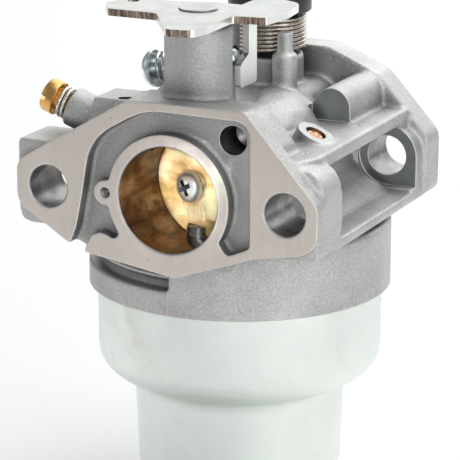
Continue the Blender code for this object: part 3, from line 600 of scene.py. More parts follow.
def sheared_edge():
    """Blanked edge of the lever: vertical break lines, browned where the plating is thin."""
    p = Paint("sheared_edge")
    lines = p.noise(0.35, 3.0, 0.7, p.stretched((1.0, 1.0, 0.12)))
    blotch = p.noise(1.6)
    color = p.ramp(lines, [(0.34, (0.10, 0.06, 0.045)), (0.50, (0.30, 0.22, 0.18)),
                           (0.68, (0.62, 0.56, 0.50))])
    color = p.mix(p.ramp(blotch, [(0.4, 0.0), (0.7, 0.5)]), color, (0.12, 0.07, 0.05))
    return p.done(color, p.ramp(lines, [(0.3, 0.5), (0.7, 0.3)]), p.bump(lines, 0.05))


# ---------------------------------------------------------------- casting outlines
def front_outline():
    return rounded([
        (-28.1, 3.9, 3.0), (-7.3, 16.2, 6.0), (13.9, 16.3, 1.8), (26.75, 1.9, 2.5),
        (26.7, -6.0, 4.0), (16.0, -7.9, 8.0), (1.3, -13.1, 1.2), (-15.7, -10.5, 0.7),
        (-18.8, -9.1, 0.8), (-28.1, -3.2, 2.8),
    ])


def recess_outline():
    outer = rounded([
        (-19.4, -12.5, 0), (-17.0, -6.3, 0), (-15.9, -1.0, 0), (-14.2, 9.0, 9.0),
        (-4.2, 14.9, 12.0), (14.95, 14.6, 2.6), (14.95, -6.4, 1.0), (10.6, -8.3, 1.1),
        (9.25, -6.2, 0),
    ])
    inner = arc(0, 0, 11.0, -33, 168, 60)
    inner += arc(-11.5, 0.1, 2.05, 70, 285, 20)
    inner += arc(0, 0, 11.0, 192, 216, 8)
    inner += [(-9.3, -7.4), (-10.3, -7.7), (-11.4, -7.1), (-12.6, -6.9), (-14.0, -7.5),
              (-15.1, -9.3), (-16.0, -12.5)]
    return outer + inner


def rear_outline():
    right = [(8.4, 17.7, 3.0), (18.0, 13.7, 2.0), (27.5, 3.2, 3.0), (27.4, -6.7, 1.5),
             (19.0, -12.4, 3.0)]
    return rounded(right + mirrored(right))


def lug_outline():
    top = arc(21.0, 0.0, 5.7, 0, 180, 24)
    return [(14.0, -7.6), (25.9, -7.6), (26.6, -6.9)] + top[:-1] + [(14.5, 1.5)]


def rear_lug_outline(x, side):
    """Raised pad round a rear stud, half round on top and straight down its outer side."""
    top = [(x + side * (u - x), z) for u, z in arc(x, 0.0, 5.5, 0, 120, 20)]
    return [(x - side * 8.0, -7.4), (x + side * 5.5, -6.8)] + top + [(x - side * 8.0, 4.6)]


def rear_pad_outline(x, side):
    """What the cutter clears over a rear pad, down to the rail."""
    top = [(x + side * (u - x), z) for u, z in arc(x, 0.0, 5.65, 0, 112, 20)]
    return [(x, -5.3), (x + side * 5.9, -5.3)] + top + [(x - side * 2.1, 0.0)]


def arch_outline(grow, bottom):
    return ([(11.9 - grow, bottom), (18.7 + grow, bottom)]
            + arc(15.3, 10.4, 3.4 + grow, 0, 180, 30))


def rail_outline():
    return [(8.0, -10.8), (26.5, -7.55), (26.5, -5.9), (22.2, -5.6), (21.4, -5.3), (17.0, -3.0),
            (15.3, -1.4), (14.5, 0.8), (12.5, 3.0), (8.0, 3.0)]


# ---------------------------------------------------------------- casting
MACHINING = 0.8          # stock that the cast blocks carry on a face that is cut later
VOXEL = 0.3
SOFTENING = 8            # rounds of smoothing after the remesh
CAST_TRIANGLES = 140000
ARCH_FRONT = 32.5


def cast_blocks():
    """Outer solids of the casting, proud of every face that is machined later."""
    lug = rounded([(-28.2, -6.9, 2.0), (-14.0, -6.9, 0), (-14.0, 7.6, 0), (-28.2, 7.6, 0.5)])
    hump = rounded([(-15.4, -6.5, 2.0), (-16.5, 9.0, 0), (-15.0, 15.9, 1.0), (12.8, 15.4, 4.5),
                    (18.3, 9.0, 3.0), (17.2, -6.5, 1.5), (8.0, -9.4, 0), (-10.0, -9.4, 0)])
    top = rounded([(-10.6, -4.0, 0), (9.9, -4.0, 0), (9.9, 12.3, 3.5), (-10.6, 12.3, 3.5)])
    shelf = rounded([(7.0, 3.0, 0), (21.2, 3.0, 0), (23.6, 8.0, 1.5), (23.6, 48.0, 0),
                     (7.0, 48.0, 0)])
    lug_top = rounded([(14.0, -4.0, 0), (26.7, -4.0, 0), (26.7, 7.2, 5.0), (14.5, 7.2, 0)])
    wall = rounded([(8.0, -9.0, 0), (15.2, -9.0, 0), (14.6, 7.0, 0), (8.0, 7.0, 0)])
    core = [(-12.0, -11.5), (10.0, -11.5), (12.0, -5.5), (-13.0, -5.5)]
    column = [(0, 0), (5.65, 0), (5.65, 22.2), (5.25, 22.6), (0, 22.6)]
    choke = [(0, 0), (6.0, 0), (6.0, 12.0), (5.6, 12.4), (0, 12.4)]
    return [
        prism(front_outline(), -MACHINING, PLATE_T),
        prism(lug, 0.9, 11.0),
        prism(lug_outline(), 0.9, 10.6),
        prism(lug_top, 3.4, 10.5),
        prism(hump, 3.1, 11.2),
        ball((5.5, 29.0, 4.0), 1.0, (9.2, 15.0, 9.5)),
        revolve(column, (0, THROTTLE_Y, 5.0), UP, 96),
        box(-3.7, 0.0, 6.27, THROTTLE_Y, 10.0, 27.6),
        box(-6.2, 2.6, 14.2, 21.4, 10.0, 21.8),
        box(-3.4, 3.7, 13.0, 20.6, 21.2, 27.2),
        revolve(choke, (0, CHOKE_Y, 5.0), UP, 96),
        rod((5.9, 33.8, 8.0), UP, 2.2, 10.7),
        rod((5.9, 33.8, 17.0), UP, 1.4, 5.5),
        rod((0, 2.0, 0), ALONG, 12.6, 47.0, 96),
        prism(top, 14.0, 48.0),
        prism(rear_outline(), REAR_FRONT, REAR_FACE + MACHINING),
        prism(rear_lug_outline(STUD_X[1], 1), REAR_LUG - MACHINING, 48.5),
        prism(rear_lug_outline(STUD_X[0], -1), REAR_LUG - MACHINING, 48.5),
        prism(arch_outline(0.0, 6.5), ARCH_FRONT - MACHINING, 48.0),
        prism(shelf, 5.6, 8.0, "z"),
        prism(wall, 9.0, 48.2),
        prism(mirrored(wall), 9.0, 48.2),
        prism(rail_outline(), 9.0, 47.8),
        prism(mirrored(rail_outline()), 9.0, 47.8),
        revolve([(0, 0), (3.3, 0), (3.3, 6.3), (0, 6.3)], JET_BASE, JET_DIR),
        rod(PILOT_MOUTH - PILOT_DIR * 0.5, PILOT_DIR, 3.4, 12.5),
        revolve([(0, 0), (SKIRT_R, 0), (SKIRT_R, 12.8 - 0.5), (SKIRT_R - 0.5, 12.8), (0, 12.8)],
                (0, BOWL_Y, SKIRT_BOTTOM - MACHINING), UP, 128),
        prism(core, 2.9, 48.4),
    ]


def cast_pockets():
    """Hollows that the die leaves: they get the same soft corners as the outside."""
    ring = [(23.9, -16.5), (27.5, -16.2), (27.5, -10.9), (22.8, -10.9), (22.8, -13.2),
            (25.1, -13.8), (25.1, -14.6), (23.9, -14.8), (23.9, -16.5)]
    groove = to_object("groove", revolve(ring, (0, BOWL_Y, 0), UP, 128))
    boolean(groove, [box(-1.1, 40, -5, 70, -20, 0), box(-40, 0, 29.0, 70, -20, 0)])
    groove.data.transform(Matrix.Scale(1 / MM, 4))
    bm = bmesh.new()
    bm.from_mesh(groove.data)
    drop([groove])
    return [
        prism(recess_outline(), -2.0, 2.4),
        bm,
        rod((0, BOWL_Y, -26.0), UP, 18.7, 12.6, 128),
        box(-26.0, -8.6, 2.2, 15.6, 15.3, 20.0),
        # the tab's pocket, with an oblique wall on its right
        prism([(-7.0, 21.6), (5.8, 21.6), (3.7, 30.0), (3.4, 34.0), (-7.0, 34.0)], 12.4, 18.0, "z"),
    ]


def hole(base, direction, radius, length, chamfer=0.0, back=1.0):
    """Drilled hole whose mouth is at base, running back a little out of the face."""
    profile = [(0, -back), (radius + chamfer, -back)]
    if chamfer:
        profile += [(radius + chamfer, -0.01)]
    profile += [(radius, chamfer), (radius, length), (radius * 0.4, length + radius * 0.35),
                (0, length + radius * 0.35)]
    return revolve(profile, base, direction)


def inlet_frame():
    direction = Vector((-0.5, 0.866, 0)).normalized()
    return Vector((0, BOWL_Y, -15.2)) + direction * 25.3, direction


def face_cuts():
    """The flat machined faces: engine side, intake side and the skirt's rim."""
    return [
        box(-40, 40, -5, 0, -40, 40),
        box(-40, 40, REAR_FACE, 60, -12.7, 40),
        box(-40, 40, -10, 70, -30, SKIRT_BOTTOM),
    ]


def boss_cuts():
    """Spotfaced ends of the jet and mixture-screw bosses."""
    return [rod(JET_TOP, JET_DIR, 3.4, 2.0), rod(PILOT_MOUTH, -PILOT_DIR, 3.6, 2.0)]


def smooth_cuts():
    """Crisp, smooth die faces: the front of the arch and the pads behind the studs."""
    pads = [prism(rear_pad_outline(x, side), 42.0, REAR_LUG)
            for x, side in ((STUD_X[1], 1), (STUD_X[0], -1))]
    return [prism(arch_outline(0.3, 8.1), ARCH_FRONT - 2.0, ARCH_FRONT), *pads]


def mouth_cuts():
    """Chamfers round the bore and the stud holes, at the engine side, lit up by the painted edge
    highlight of the spotface look.
    """
    cuts = []
    for x, radius in ((0, BORE_R), (STUD_X[0], STUD_R), (STUD_X[1], STUD_R)):
        cone = [(0, -1.0), (radius + 0.25, -1.0), (radius + 0.25, -0.01), (radius - 0.02, 0.26),
                (0, 0.26)]
        cuts.append(revolve(cone, (x, 0, 0), ALONG, 160))
    return cuts


def spot_cuts():
    """Shallow round seats in the rear pads."""
    return [rod((x, 42.4, 0), ALONG, 5.25, REAR_LUG - 42.4, 96) for x in STUD_X]


def pits():
    """Cold shuts left in the die casting, at the arch's foot and the shelf's front end."""
    places = [((19.1, 32.0, 8.1), 0.42), ((19.8, 31.7, 8.1), 0.34), ((20.5, 31.5, 8.0), 0.40),
              ((21.1, 31.6, 8.0), 0.26), ((20.3, 9.6, 8.05), 0.34), ((20.8, 10.2, 8.0), 0.26)]
    return [ball(place, radius) for place, radius in places]


def bore_cut():
    """Throttle bore, throat and intake in one turned shape."""
    profile = [(0, -1.0), (BORE_R, -1.0), (BORE_R, 20.0), (8.3, 22.0), (THROAT_R, 25.5),
               (THROAT_R, 28.0), (8.4, 30.5), (INTAKE_R, 34.5), (INTAKE_R, REAR_FACE - 0.3),
               (INTAKE_R + 0.3, REAR_FACE), (INTAKE_R + 0.3, 54.0), (0, 54.0)]
    return [revolve(profile, (0, 0, 0), ALONG, 160)]


def drilled_cuts():
    """Everything drilled or reamed."""
    inlet, inlet_dir = inlet_frame()
    return [
        hole((10.85, 2.4, 10.8), ALONG, 2.45, 6.4, back=4.0),
        *(rod((x, -1.0, 0), ALONG, STUD_R, 55.0, 96) for x in STUD_X),
        rod((0, BOWL_Y, -24.0), UP, 25.1, 6.6, 160),
        rod((0, THROTTLE_Y, -12.4), UP, SHAFT_HOLE_R, 42),
        rod((0, CHOKE_Y, -11.8), UP, SHAFT_HOLE_R, 31),
        hole(PILOT_MOUTH, PILOT_DIR, 2.25, 8.6, 0.25),
        rod(PILOT_MOUTH, PILOT_DIR, 0.9, 17.0, 32),
        rod(STOP_HEAD + STOP_DIR * 2, STOP_DIR, 2.15, 16.0),
        rod((-9.6, 4.9, 12.5), UP, 1.0, 6.0, 32),
        rod((-10.2, 4.6, 14.6), UP, 0.95, 2.0, 32),
        hole(JET_TOP, JET_DIR, 1.6, 5.0, 0.2),
        rod((0, BOWL_Y, -60.0), UP, 2.7, 56.0),
        rod((0, BOWL_Y, -60.0), UP, 3.3, 12.5),
        rod((-8, PIN_Y, PIN_Z), ACROSS, 0.86, 16.0, 32),
        rod((0, NEEDLE_Y, -20.0), UP, 2.4, 7.3),
        hole((-6.3, REAR_FACE, 10.9), (0, -1, 0), 1.45, 4.0, 0.15),
        hole((6.3, REAR_FACE, 10.9), (0, -1, 0), 1.45, 4.0, 0.15),
        revolve([(0, -1), (0.95, -1), (0.95, 0.1), (0.2, 1.0), (0, 1.0)],
                (-11.5, 0, 0.1), ALONG, 32),
        rod((-7.5, 14.2, -0.2), (-1, 0, 0), 0.34, 3.2, 24),
        rod(inlet + inlet_dir * 0.3, inlet_dir, 2.45, 8.0),
    ]


def inner_blocks():
    """Pillar, float hinge lugs, needle boss and fuel inlet boss."""
    inlet, inlet_dir = inlet_frame()
    lugs = [box(x, x + 2.2, PIN_Y - 1.9, PIN_Y + 1.9, -17.7, -12.0) for x in (-6.4, 4.2)]
    return [rod((0, BOWL_Y, -53.5), UP, 4.6, 44.6), *lugs,
            rod(inlet - inlet_dir, inlet_dir, 3.3, 3.5), rod((0, NEEDLE_Y, -16.2), UP, 3.4, 4.6)]


CAST, FACED, BORED, DRILLED, SPOTTED, SMOOTH = range(6)


def make_casting():
    """Voxel-softened casting, with crisp machined faces and holes cut into it afterwards."""
    looks = [
        cast_metal(),
        machined_metal("machined_face", (3.0, 1.0, 0.06), (0.72, 0.655, 0.60),
                       (0.655, 0.60, 0.55), 0.24, 0.97),
        bored_metal(),
        drilled_metal(),
        machined_metal("spotface", (1.0, 1.0, 1.0), (0.50, 0.51, 0.505), (0.44, 0.45, 0.445),
                       0.2, 0.90),
        smooth_cast_painted_shade(),
    ]
    body = to_object("casting", cast_blocks())
    voxels = {"mode": "VOXEL", "voxel_size": VOXEL * MM, "use_smooth_shade": True}
    modify(body, "REMESH", **voxels)
    boolean(body, cast_pockets(), solver="MANIFOLD")
    modify(body, "REMESH", **voxels)
    modify(body, "SMOOTH", factor=0.5, iterations=SOFTENING)
    triangles = sum(len(face.vertices) - 2 for face in body.data.polygons)
    modify(body, "DECIMATE", ratio=min(1.0, CAST_TRIANGLES / triangles))
    for look in looks:
        body.data.materials.append(look)
    boolean(body, inner_blocks(), "UNION", "MANIFOLD", CAST)
    for shapes, slot in ((face_cuts, FACED), (boss_cuts, SPOTTED), (smooth_cuts, SMOOTH),
                         (spot_cuts, SMOOTH), (pits, CAST), (bore_cut, BORED),
                         (drilled_cuts, DRILLED), (mouth_cuts, SPOTTED)):
        boolean(body, shapes(), solver="MANIFOLD", slot=slot)
    # smooth faces that face forwards keep the darker slate look, which is painted shade; the others
    # go back to the cast look
    for face in body.data.polygons:
        if face.material_index == SMOOTH and face.normal.y > -0.9:
            face.material_index = CAST
    return finish_piece(body, looks, "casting", "body", 32)


# ---------------------------------------------------------------- bowl side
def bowl_profile(inset):
    """Half section of the pressed bowl; inset moves it inwards for the inner wall."""
    return [
        (BOWL_R - inset, BOWL_TOP), (BOWL_R - inset, -30.3),
        *arc(BOWL_R - 5.6, -31.5, 5.6 - inset, -12, -78, 11),
        (CUP_R + 1.0 - inset * 0.8, -37.5 + inset * 0.5), (CUP_R + 0.55 - inset, -38.1),
        (CUP_R + 0.1 - inset, -38.9), (CUP_R - inset, -40.0), (CUP_R - 0.5 - inset, -51.5),
        *arc(CUP_R - 5.0, -52.5, 4.5 - inset, -6, -84, 13),
        (9.0, BOWL_BOTTOM + inset), (3.6, BOWL_BOTTOM + inset),
    ]


def make_bowl():
    section = bowl_profile(0) + list(reversed(bowl_profile(BOWL_WALL)))
    section.append(section[0])
    bowl = to_object("bowl_shell", revolve(section, (0, BOWL_Y, 0), UP, 160))
    look = zinc("satin_zinc", (0.80, 0.845, 0.80), (0.745, 0.79, 0.75), 0.30, 0.4, 9.0,
                (0.64, 0.60, 0.52))
    return finish_piece(bowl, [look], "casting", "float_bowl", 60)


def make_float():
    """Ring float with its hinge arm."""
    ring = rounded([(8.0, -33.0, 1.0), (8.0, -21.4, 1.0), (21.4, -21.4, 1.0),
                    (21.4, -33.0, 1.0)], 15)
    ring.append(ring[0])
    made = to_object("ring_float", revolve(ring, (0, BOWL_Y, 0), UP, 120))
    hub = rounded([(PIN_Y - 1.5, PIN_Z + 1.2, 1.0), (PIN_Y + 1.5, PIN_Z + 1.2, 1.0),
                   (PIN_Y + 1.5, -20.9, 0), (PIN_Y + 0.5, -22.4, 0), (NEEDLE_Y - 3.0, -22.4, 0),
                   (NEEDLE_Y - 3.0, -20.6, 0), (PIN_Y - 1.5, -20.6, 0.8)], 15)
    boolean(made, [prism(hub, -3.4, 3.4, "x")], "UNION")
    boolean(made, [rod((-8, PIN_Y, PIN_Z), ACROSS, 0.9, 16.0, 32)])
    look = moulded("float_resin", (0.14, 0.13, 0.12), (0.08, 0.08, 0.08), 0.5)
    return finish_piece(made, [look], "float_arm", "float")


def make_bowl_bolt():
    """Hexagon flange bolt; the head's corners are turned off like a real one."""
    low = BOWL_BOTTOM - 1.5
    head = to_object("flange_bolt", prism(arc(0, 0, 5.3, 0, 300, 5), low - 5.0, low - 0.8, "z"))
    dome = [(0, -5.0), (4.2, -5.0), (5.5, -4.2), (5.5, -0.5), (0, -0.5)]
    boolean(head, [revolve(dome, (0, 0, low), UP, 96)], "INTERSECT")
    bevel(head, 0.12)
    flange = [(0, low - 1.0), (5.9, low - 1.0), (6.2, low - 0.8), (6.2, low), (3.1, low),
              (3.1, -49.8), (2.8, -49.4), (0, -49.4)]
    boolean(head, [revolve(flange, (0, 0, 0), UP, 96, thread=(-56.0, -49.9, 0.8, 0.35))], "UNION")
    head.data.transform(Matrix.Translation((0, BOWL_Y * MM, 0)))
    look = zinc("bolt_zinc", (0.78, 0.80, 0.80), (0.58, 0.60, 0.62), 0.22, 0.2, 2.0)
    return finish_piece(head, [look], "casting", "bowl_bolt")


# ---------------------------------------------------------------- throttle
def at_disc(bm):
    """Turns a shape built square to Y onto the closed throttle disc."""
    bmesh.ops.transform(bm, matrix=DISC_PLACE, verts=bm.verts)
    return bm


def cross_recess(radius, depth, half):
    """Four-pointed tapered driver recess, cut down from z = 0."""
    arm = [(-radius, -half), (radius, -half), (radius, half), (-radius, half)]
    side = [(y, x) for x, y in reversed(arm)]
    return [tapered(outline, -depth, 0.4, 0.45) for outline in (arm, side)]


def pan_screw(name, front, looks, body, node, place):
    """Pan-head cross-recess screw built along Z, with a fine thread on its shank."""
    end = 2.2
    crown = [(0, front - 1.9), (1.1, front - 1.86), (1.9, front - 1.68), (2.35, front - 1.3),
             (2.52, front - 0.85), (2.55, front - 0.3), (2.45, front), (1.45, front),
             (1.45, end - 0.3), (1.2, end), (0, end)]
    thread = (front + 0.1, end - 0.35, 0.5, 0.18)
    made = to_object(name, revolve(crown, (0, 0, 0), UP, 96, thread=thread))
    cuts = cross_recess(1.65, 1.1, 0.44)
    for bm in cuts:
        bmesh.ops.rotate(bm, verts=bm.verts, matrix=Matrix.Rotation(math.pi, 3, "X") @
                         Matrix.Rotation(math.radians(28), 3, "Z"))
        bmesh.ops.translate(bm, verts=bm.verts, vec=(0, 0, front - 1.78))
    # the recess faces take the second look, painted shade in the cross recess
    boolean(made, cuts, slot=1)
    move(made, place)
    return finish_piece(made, looks, body, node)


def make_throttle_shaft(head_look):
    pivot = (0, THROTTLE_Y, 0)
    profile = [(0, -12.0), (1.75, -12.0), (1.95, -11.8), (1.95, -6.9), (SHAFT_R, -6.9),
               (SHAFT_R, LEVER_TOP + 0.02), (3.15, LEVER_TOP + 0.02),
               (3.3, LEVER_TOP + 0.12), (3.2, LEVER_TOP + 0.3),
               (2.0, LEVER_TOP + 0.37), (1.75, LEVER_TOP + 0.28),
               (1.1, LEVER_TOP + 0.24), (0, LEVER_TOP + 0.22)]
    shaft = to_object("throttle_spindle", revolve(profile, pivot, UP, 96))
    flat = at_disc(box(-3, 3, -3, DISC_T / 2 + 0.05, -7.1, 9.2))
    boolean(shaft, [flat, at_disc(rod((0, -4, 0), ALONG, 1.55, 10.0, 48))])
    for face in shaft.data.polygons:
        face.material_index = int(face.center.z > LEVER_TOP * MM)
    looks = [wire("dark_steel", (0.40, 0.46, 0.47), (0.26, 0.31, 0.32)), head_look]
    return finish_piece(shaft, looks, "throttle", "throttle_shaft")


def lever_outline():
    return rounded([
        (-13.6, 5.8, 1.0), (-4.6, 5.6, 1.5), (2.7, -5.6, 1.2), (7.0, -5.2, 2.2), (7.9, -1.5, 2.0),
        (7.7, 8.6, 0.8), (13.4, 9.6, 0.8), (14.3, 16.0, 4.0), (13.4, 23.4, 3.5), (8.0, 26.0, 2.5),
        (4.9, 23.0, 0.8), (4.9, 18.2, 0.0), (0.0, 18.4, 3.0), (-6.0, 16.4, 2.0),
        (-14.5, 16.2, 2.5), (-16.6, 10.5, 2.5),
    ])


def make_throttle_lever(plate_look):
    """Blanked plate with its turned-down stop tab; upright edges that face forwards get the dark
    sheared-edge look and the other upright edges a bright zinc, so each edge is darker or lighter
    by the way it faces: painted shade and painted highlight.
    """
    lever = to_object("lever_plate", prism(lever_outline(), LEVER_Z, LEVER_TOP, "z"))
    tab = rounded([(22.0, 29.0, 0), (18.8, 29.0, 0), (18.8, 21.6, 0.5), (15.5, 20.2, 0.8),
                   (15.5, 16.3, 0.6), (22.0, 16.3, 0.6)])
    boolean(lever, [prism(tab, 4.9, 6.0, "x")], "UNION")
    boolean(lever, [rod((0, THROTTLE_Y, 27), UP, SHAFT_R + 0.02, 5),
                    rod((-12.9, 13.7, 27), UP, 1.0, 5)])
    bevel(lever, 0.16, 2, 50)
    looks = [plate_look, sheared_edge(),
             zinc("edge_highlight_zinc", (0.93, 0.94, 0.91), (0.84, 0.86, 0.83), 0.28, 0.3, 4.0)]
    # edges facing forwards are painted dark as shade, the other upright edges painted bright as
    # highlight
    for face in lever.data.polygons:
        high = face.center.z > (LEVER_Z - 0.1) * MM
        upright = abs(face.normal.z) < 0.5
        face.material_index = (1 if high and upright and face.normal.y < -0.75
                               else 2 if upright else 0)
    return finish_piece(lever, looks, "throttle", "throttle_lever")


def make_throttle_disc():
    bm = revolve([(0, -DISC_T / 2), (BORE_R - 0.3, -DISC_T / 2),
                  (BORE_R - 0.22, -DISC_T / 2 + 0.08),
                  (BORE_R - 0.22, DISC_T / 2 - 0.08), (BORE_R - 0.3, DISC_T / 2), (0, DISC_T / 2)],
                 (0, 0, 0), ALONG, 160)
    bmesh.ops.scale(bm, vec=(1 / math.cos(DISC_TILT), 1, 1), verts=bm.verts)
    disc = to_object("butterfly", at_disc(bm))
    boolean(disc, [at_disc(rod((0, -3, 0), ALONG, 1.65, 6, 48)),
                   at_disc(box(-2.1, 2.1, -2, 2, -12, -7.0))])
    return finish_piece(disc, [brass_sheet()], "throttle", "throttle_disc")


def split_washer(name, inner, outer, low, thickness, look, body, node, place):
    """Sprung washer: a flat-wire ring with a cut and a slight helix."""
    bm = bmesh.new()
    section = rounded([(inner, 0, 0.12), (outer, 0, 0.12), (outer, 1, 0.12), (inner, 1, 0.12)], 30)
    wire_t = thickness * 0.8
    rings = []
    for i in range(91):
        turn = math.radians(8 + 344 * i / 90)
        lift = low + (thickness - wire_t) * i / 90
        rings.append([bm.verts.new((r * math.cos(turn), r * math.sin(turn), lift + h * wire_t))
                      for r, h in section])
    made = to_object(name, skin(bm, rings))
    move(made, place)
    return finish_piece(made, [look], body, node)


# ---------------------------------------------------------------- choke
def make_choke():
    steel = wire("choke_steel", (0.55, 0.56, 0.57), (0.36, 0.37, 0.38))
    profile = [(0, -11.6), (1.8, -11.6), (SHAFT_R, -11.4), (SHAFT_R, 30.35), (1.75, 30.6),
               (0, 30.6)]
    shaft = to_object("choke_spindle", revolve(profile, (0, CHOKE_Y, 0), UP, 96))
    boolean(shaft, [
        box(-3, DISC_T / 2 + 0.05, CHOKE_Y - 3, CHOKE_Y + 3, -10.9, 10.9),
        rod((-4, CHOKE_Y, 0), ACROSS, 1.55, 8, 48)])
    finish_piece(shaft, [steel], "choke", "choke_shaft")
    disc = to_object("choke_plate", revolve(
        [(0, 0), (INTAKE_R - 0.33, 0), (INTAKE_R - 0.25, 0.08), (INTAKE_R - 0.25, DISC_T - 0.08),
         (INTAKE_R - 0.33, DISC_T), (0, DISC_T)], (-DISC_T / 2, CHOKE_Y, 0), ACROSS, 160))
    boolean(disc, [rod((-3, CHOKE_Y, 0), ACROSS, 1.65, 6, 48)])
    finish_piece(disc, [zinc("plate_zinc", (0.80, 0.80, 0.76), (0.64, 0.64, 0.60), 0.26)],
                 "choke", "choke_disc")
    make_choke_lever()
    turns = coil((0, CHOKE_Y, 18.25), UP, 6.15, 0.34, 0.72, 8.1, 12, 48, 0.6)
    look = wire("spring_wire", (0.66, 0.60, 0.54), (0.40, 0.35, 0.31))
    finish_piece(to_object("choke_coil", turns), [look], "casting", "choke_spring")


def make_choke_lever():
    """Moulded hub with a ribbed arm."""
    hub = [(SHAFT_R + 0.02, 18.0), (4.8, 18.0), (5.0, 18.2), (5.0, 24.4), (5.2, 24.6), (7.1, 24.9),
           (7.3, 25.1), (7.3, 29.2), (7.1, 29.6), (6.6, 30.0), (4.2, 30.0), (4.0, 29.5),
           (SHAFT_R + 0.9, 29.5), (SHAFT_R + 0.02, 29.5), (SHAFT_R + 0.02, 18.0)]
    lever = to_object("choke_arm", revolve(hub, (0, CHOKE_Y, 0), UP, 96))
    arm = rounded([(-4.0, CHOKE_Y - 5.8, 1.0), (-4.0, CHOKE_Y + 3.0, 1.0),
                   (-17.0, CHOKE_Y + 1.5, 2.0), (-17.0, CHOKE_Y - 3.5, 2.0)])
    boolean(lever, [prism(arm, 27.2, 29.6, "z")], "UNION")
    pocket = rounded([(-8.5, CHOKE_Y - 3.9, 0.6), (-8.5, CHOKE_Y + 1.4, 0.6),
                      (-15.4, CHOKE_Y + 0.4, 1.0), (-15.4, CHOKE_Y - 2.8, 1.0)])
    boolean(lever, [prism(pocket, 28.6, 30.5, "z")])
    bevel(lever, 0.2, 2, 40)
    finish_piece(lever, [moulded("black_plastic", (0.028, 0.028, 0.030), (0.014, 0.014, 0.015),
                                 0.36,
                                 0.3, 0.015)], "choke", "choke_lever")


# ---------------------------------------------------------------- adjusting screws
def driver_slot(base, direction, depth, width):
    """Straight screwdriver slot across a head."""
    return turned_to(box(-width / 2, width / 2, -4, 4, -1.0, depth), base, direction)


def make_screws():
    gold = brass("turned_brass", (0.82, 0.50, 0.17), (0.62, 0.33, 0.10))
    pilot = [(0, -5.4), (2.3, -5.4), (2.75, -5.15), (2.95, -4.75), (2.95, -3.0), (2.8, -2.85),
             (1.95, -2.85), (1.95, 8.2), (0.75, 8.6), (0.65, 12.0), (0.2, 16.0), (0, 16.0)]
    screw = to_object("mixture_screw", revolve(pilot, PILOT_MOUTH, PILOT_DIR, 96,
                                               thread=(-2.8, 8.0, 0.7, 0.28)))
    boolean(screw, [driver_slot(PILOT_MOUTH - PILOT_DIR * 5.4, PILOT_DIR, 1.2, 0.8)])
    finish_piece(screw, [gold], "mixture_screw", "pilot_screw")
    bright = wire("bright_wire", (0.86, 0.86, 0.82), (0.62, 0.61, 0.56))
    spring = to_object("mixture_spring", coil(PILOT_MOUTH - PILOT_DIR * 2.42, PILOT_DIR, 2.45, 0.33,
                                              0.84, 2.3, 14, 60))
    finish_piece(spring, [bright], "casting", "pilot_screw_spring")
    stop = [(0, -2.3), (0.9, -2.25), (1.8, -2.05), (2.5, -1.65), (3.0, -1.05), (3.2, -0.4),
            (3.15, 0.0), (1.75, 0.0), (1.75, STOP_LENGTH), (1.3, STOP_LENGTH + 0.5),
            (0.9, STOP_LENGTH + 0.7), (0, STOP_LENGTH + 0.7)]
    screw = to_object("idle_screw", revolve(stop, STOP_HEAD, STOP_DIR, 96,
                                            thread=(0.1, STOP_LENGTH - 0.1, 0.7, 0.25)))
    boolean(screw, [driver_slot(STOP_HEAD - STOP_DIR * 2.3, STOP_DIR, 1.1, 0.9)])
    blue_zinc = zinc("blue_zinc", (0.84, 0.90, 0.91), (0.60, 0.67, 0.68), 0.25, 0.2, 1.6)
    finish_piece(screw, [blue_zinc], "idle_screw", "stop_screw")
    spring = to_object("idle_spring", coil(STOP_HEAD + STOP_DIR * 0.5, STOP_DIR, 2.5, 0.36, 1.15,
                                           2.9,
                                           14, 60))
    finish_piece(spring, [wire("zinc_wire", (0.82, 0.85, 0.84), (0.50, 0.54, 0.55))], "casting",
                 "stop_screw_spring")
    return blue_zinc


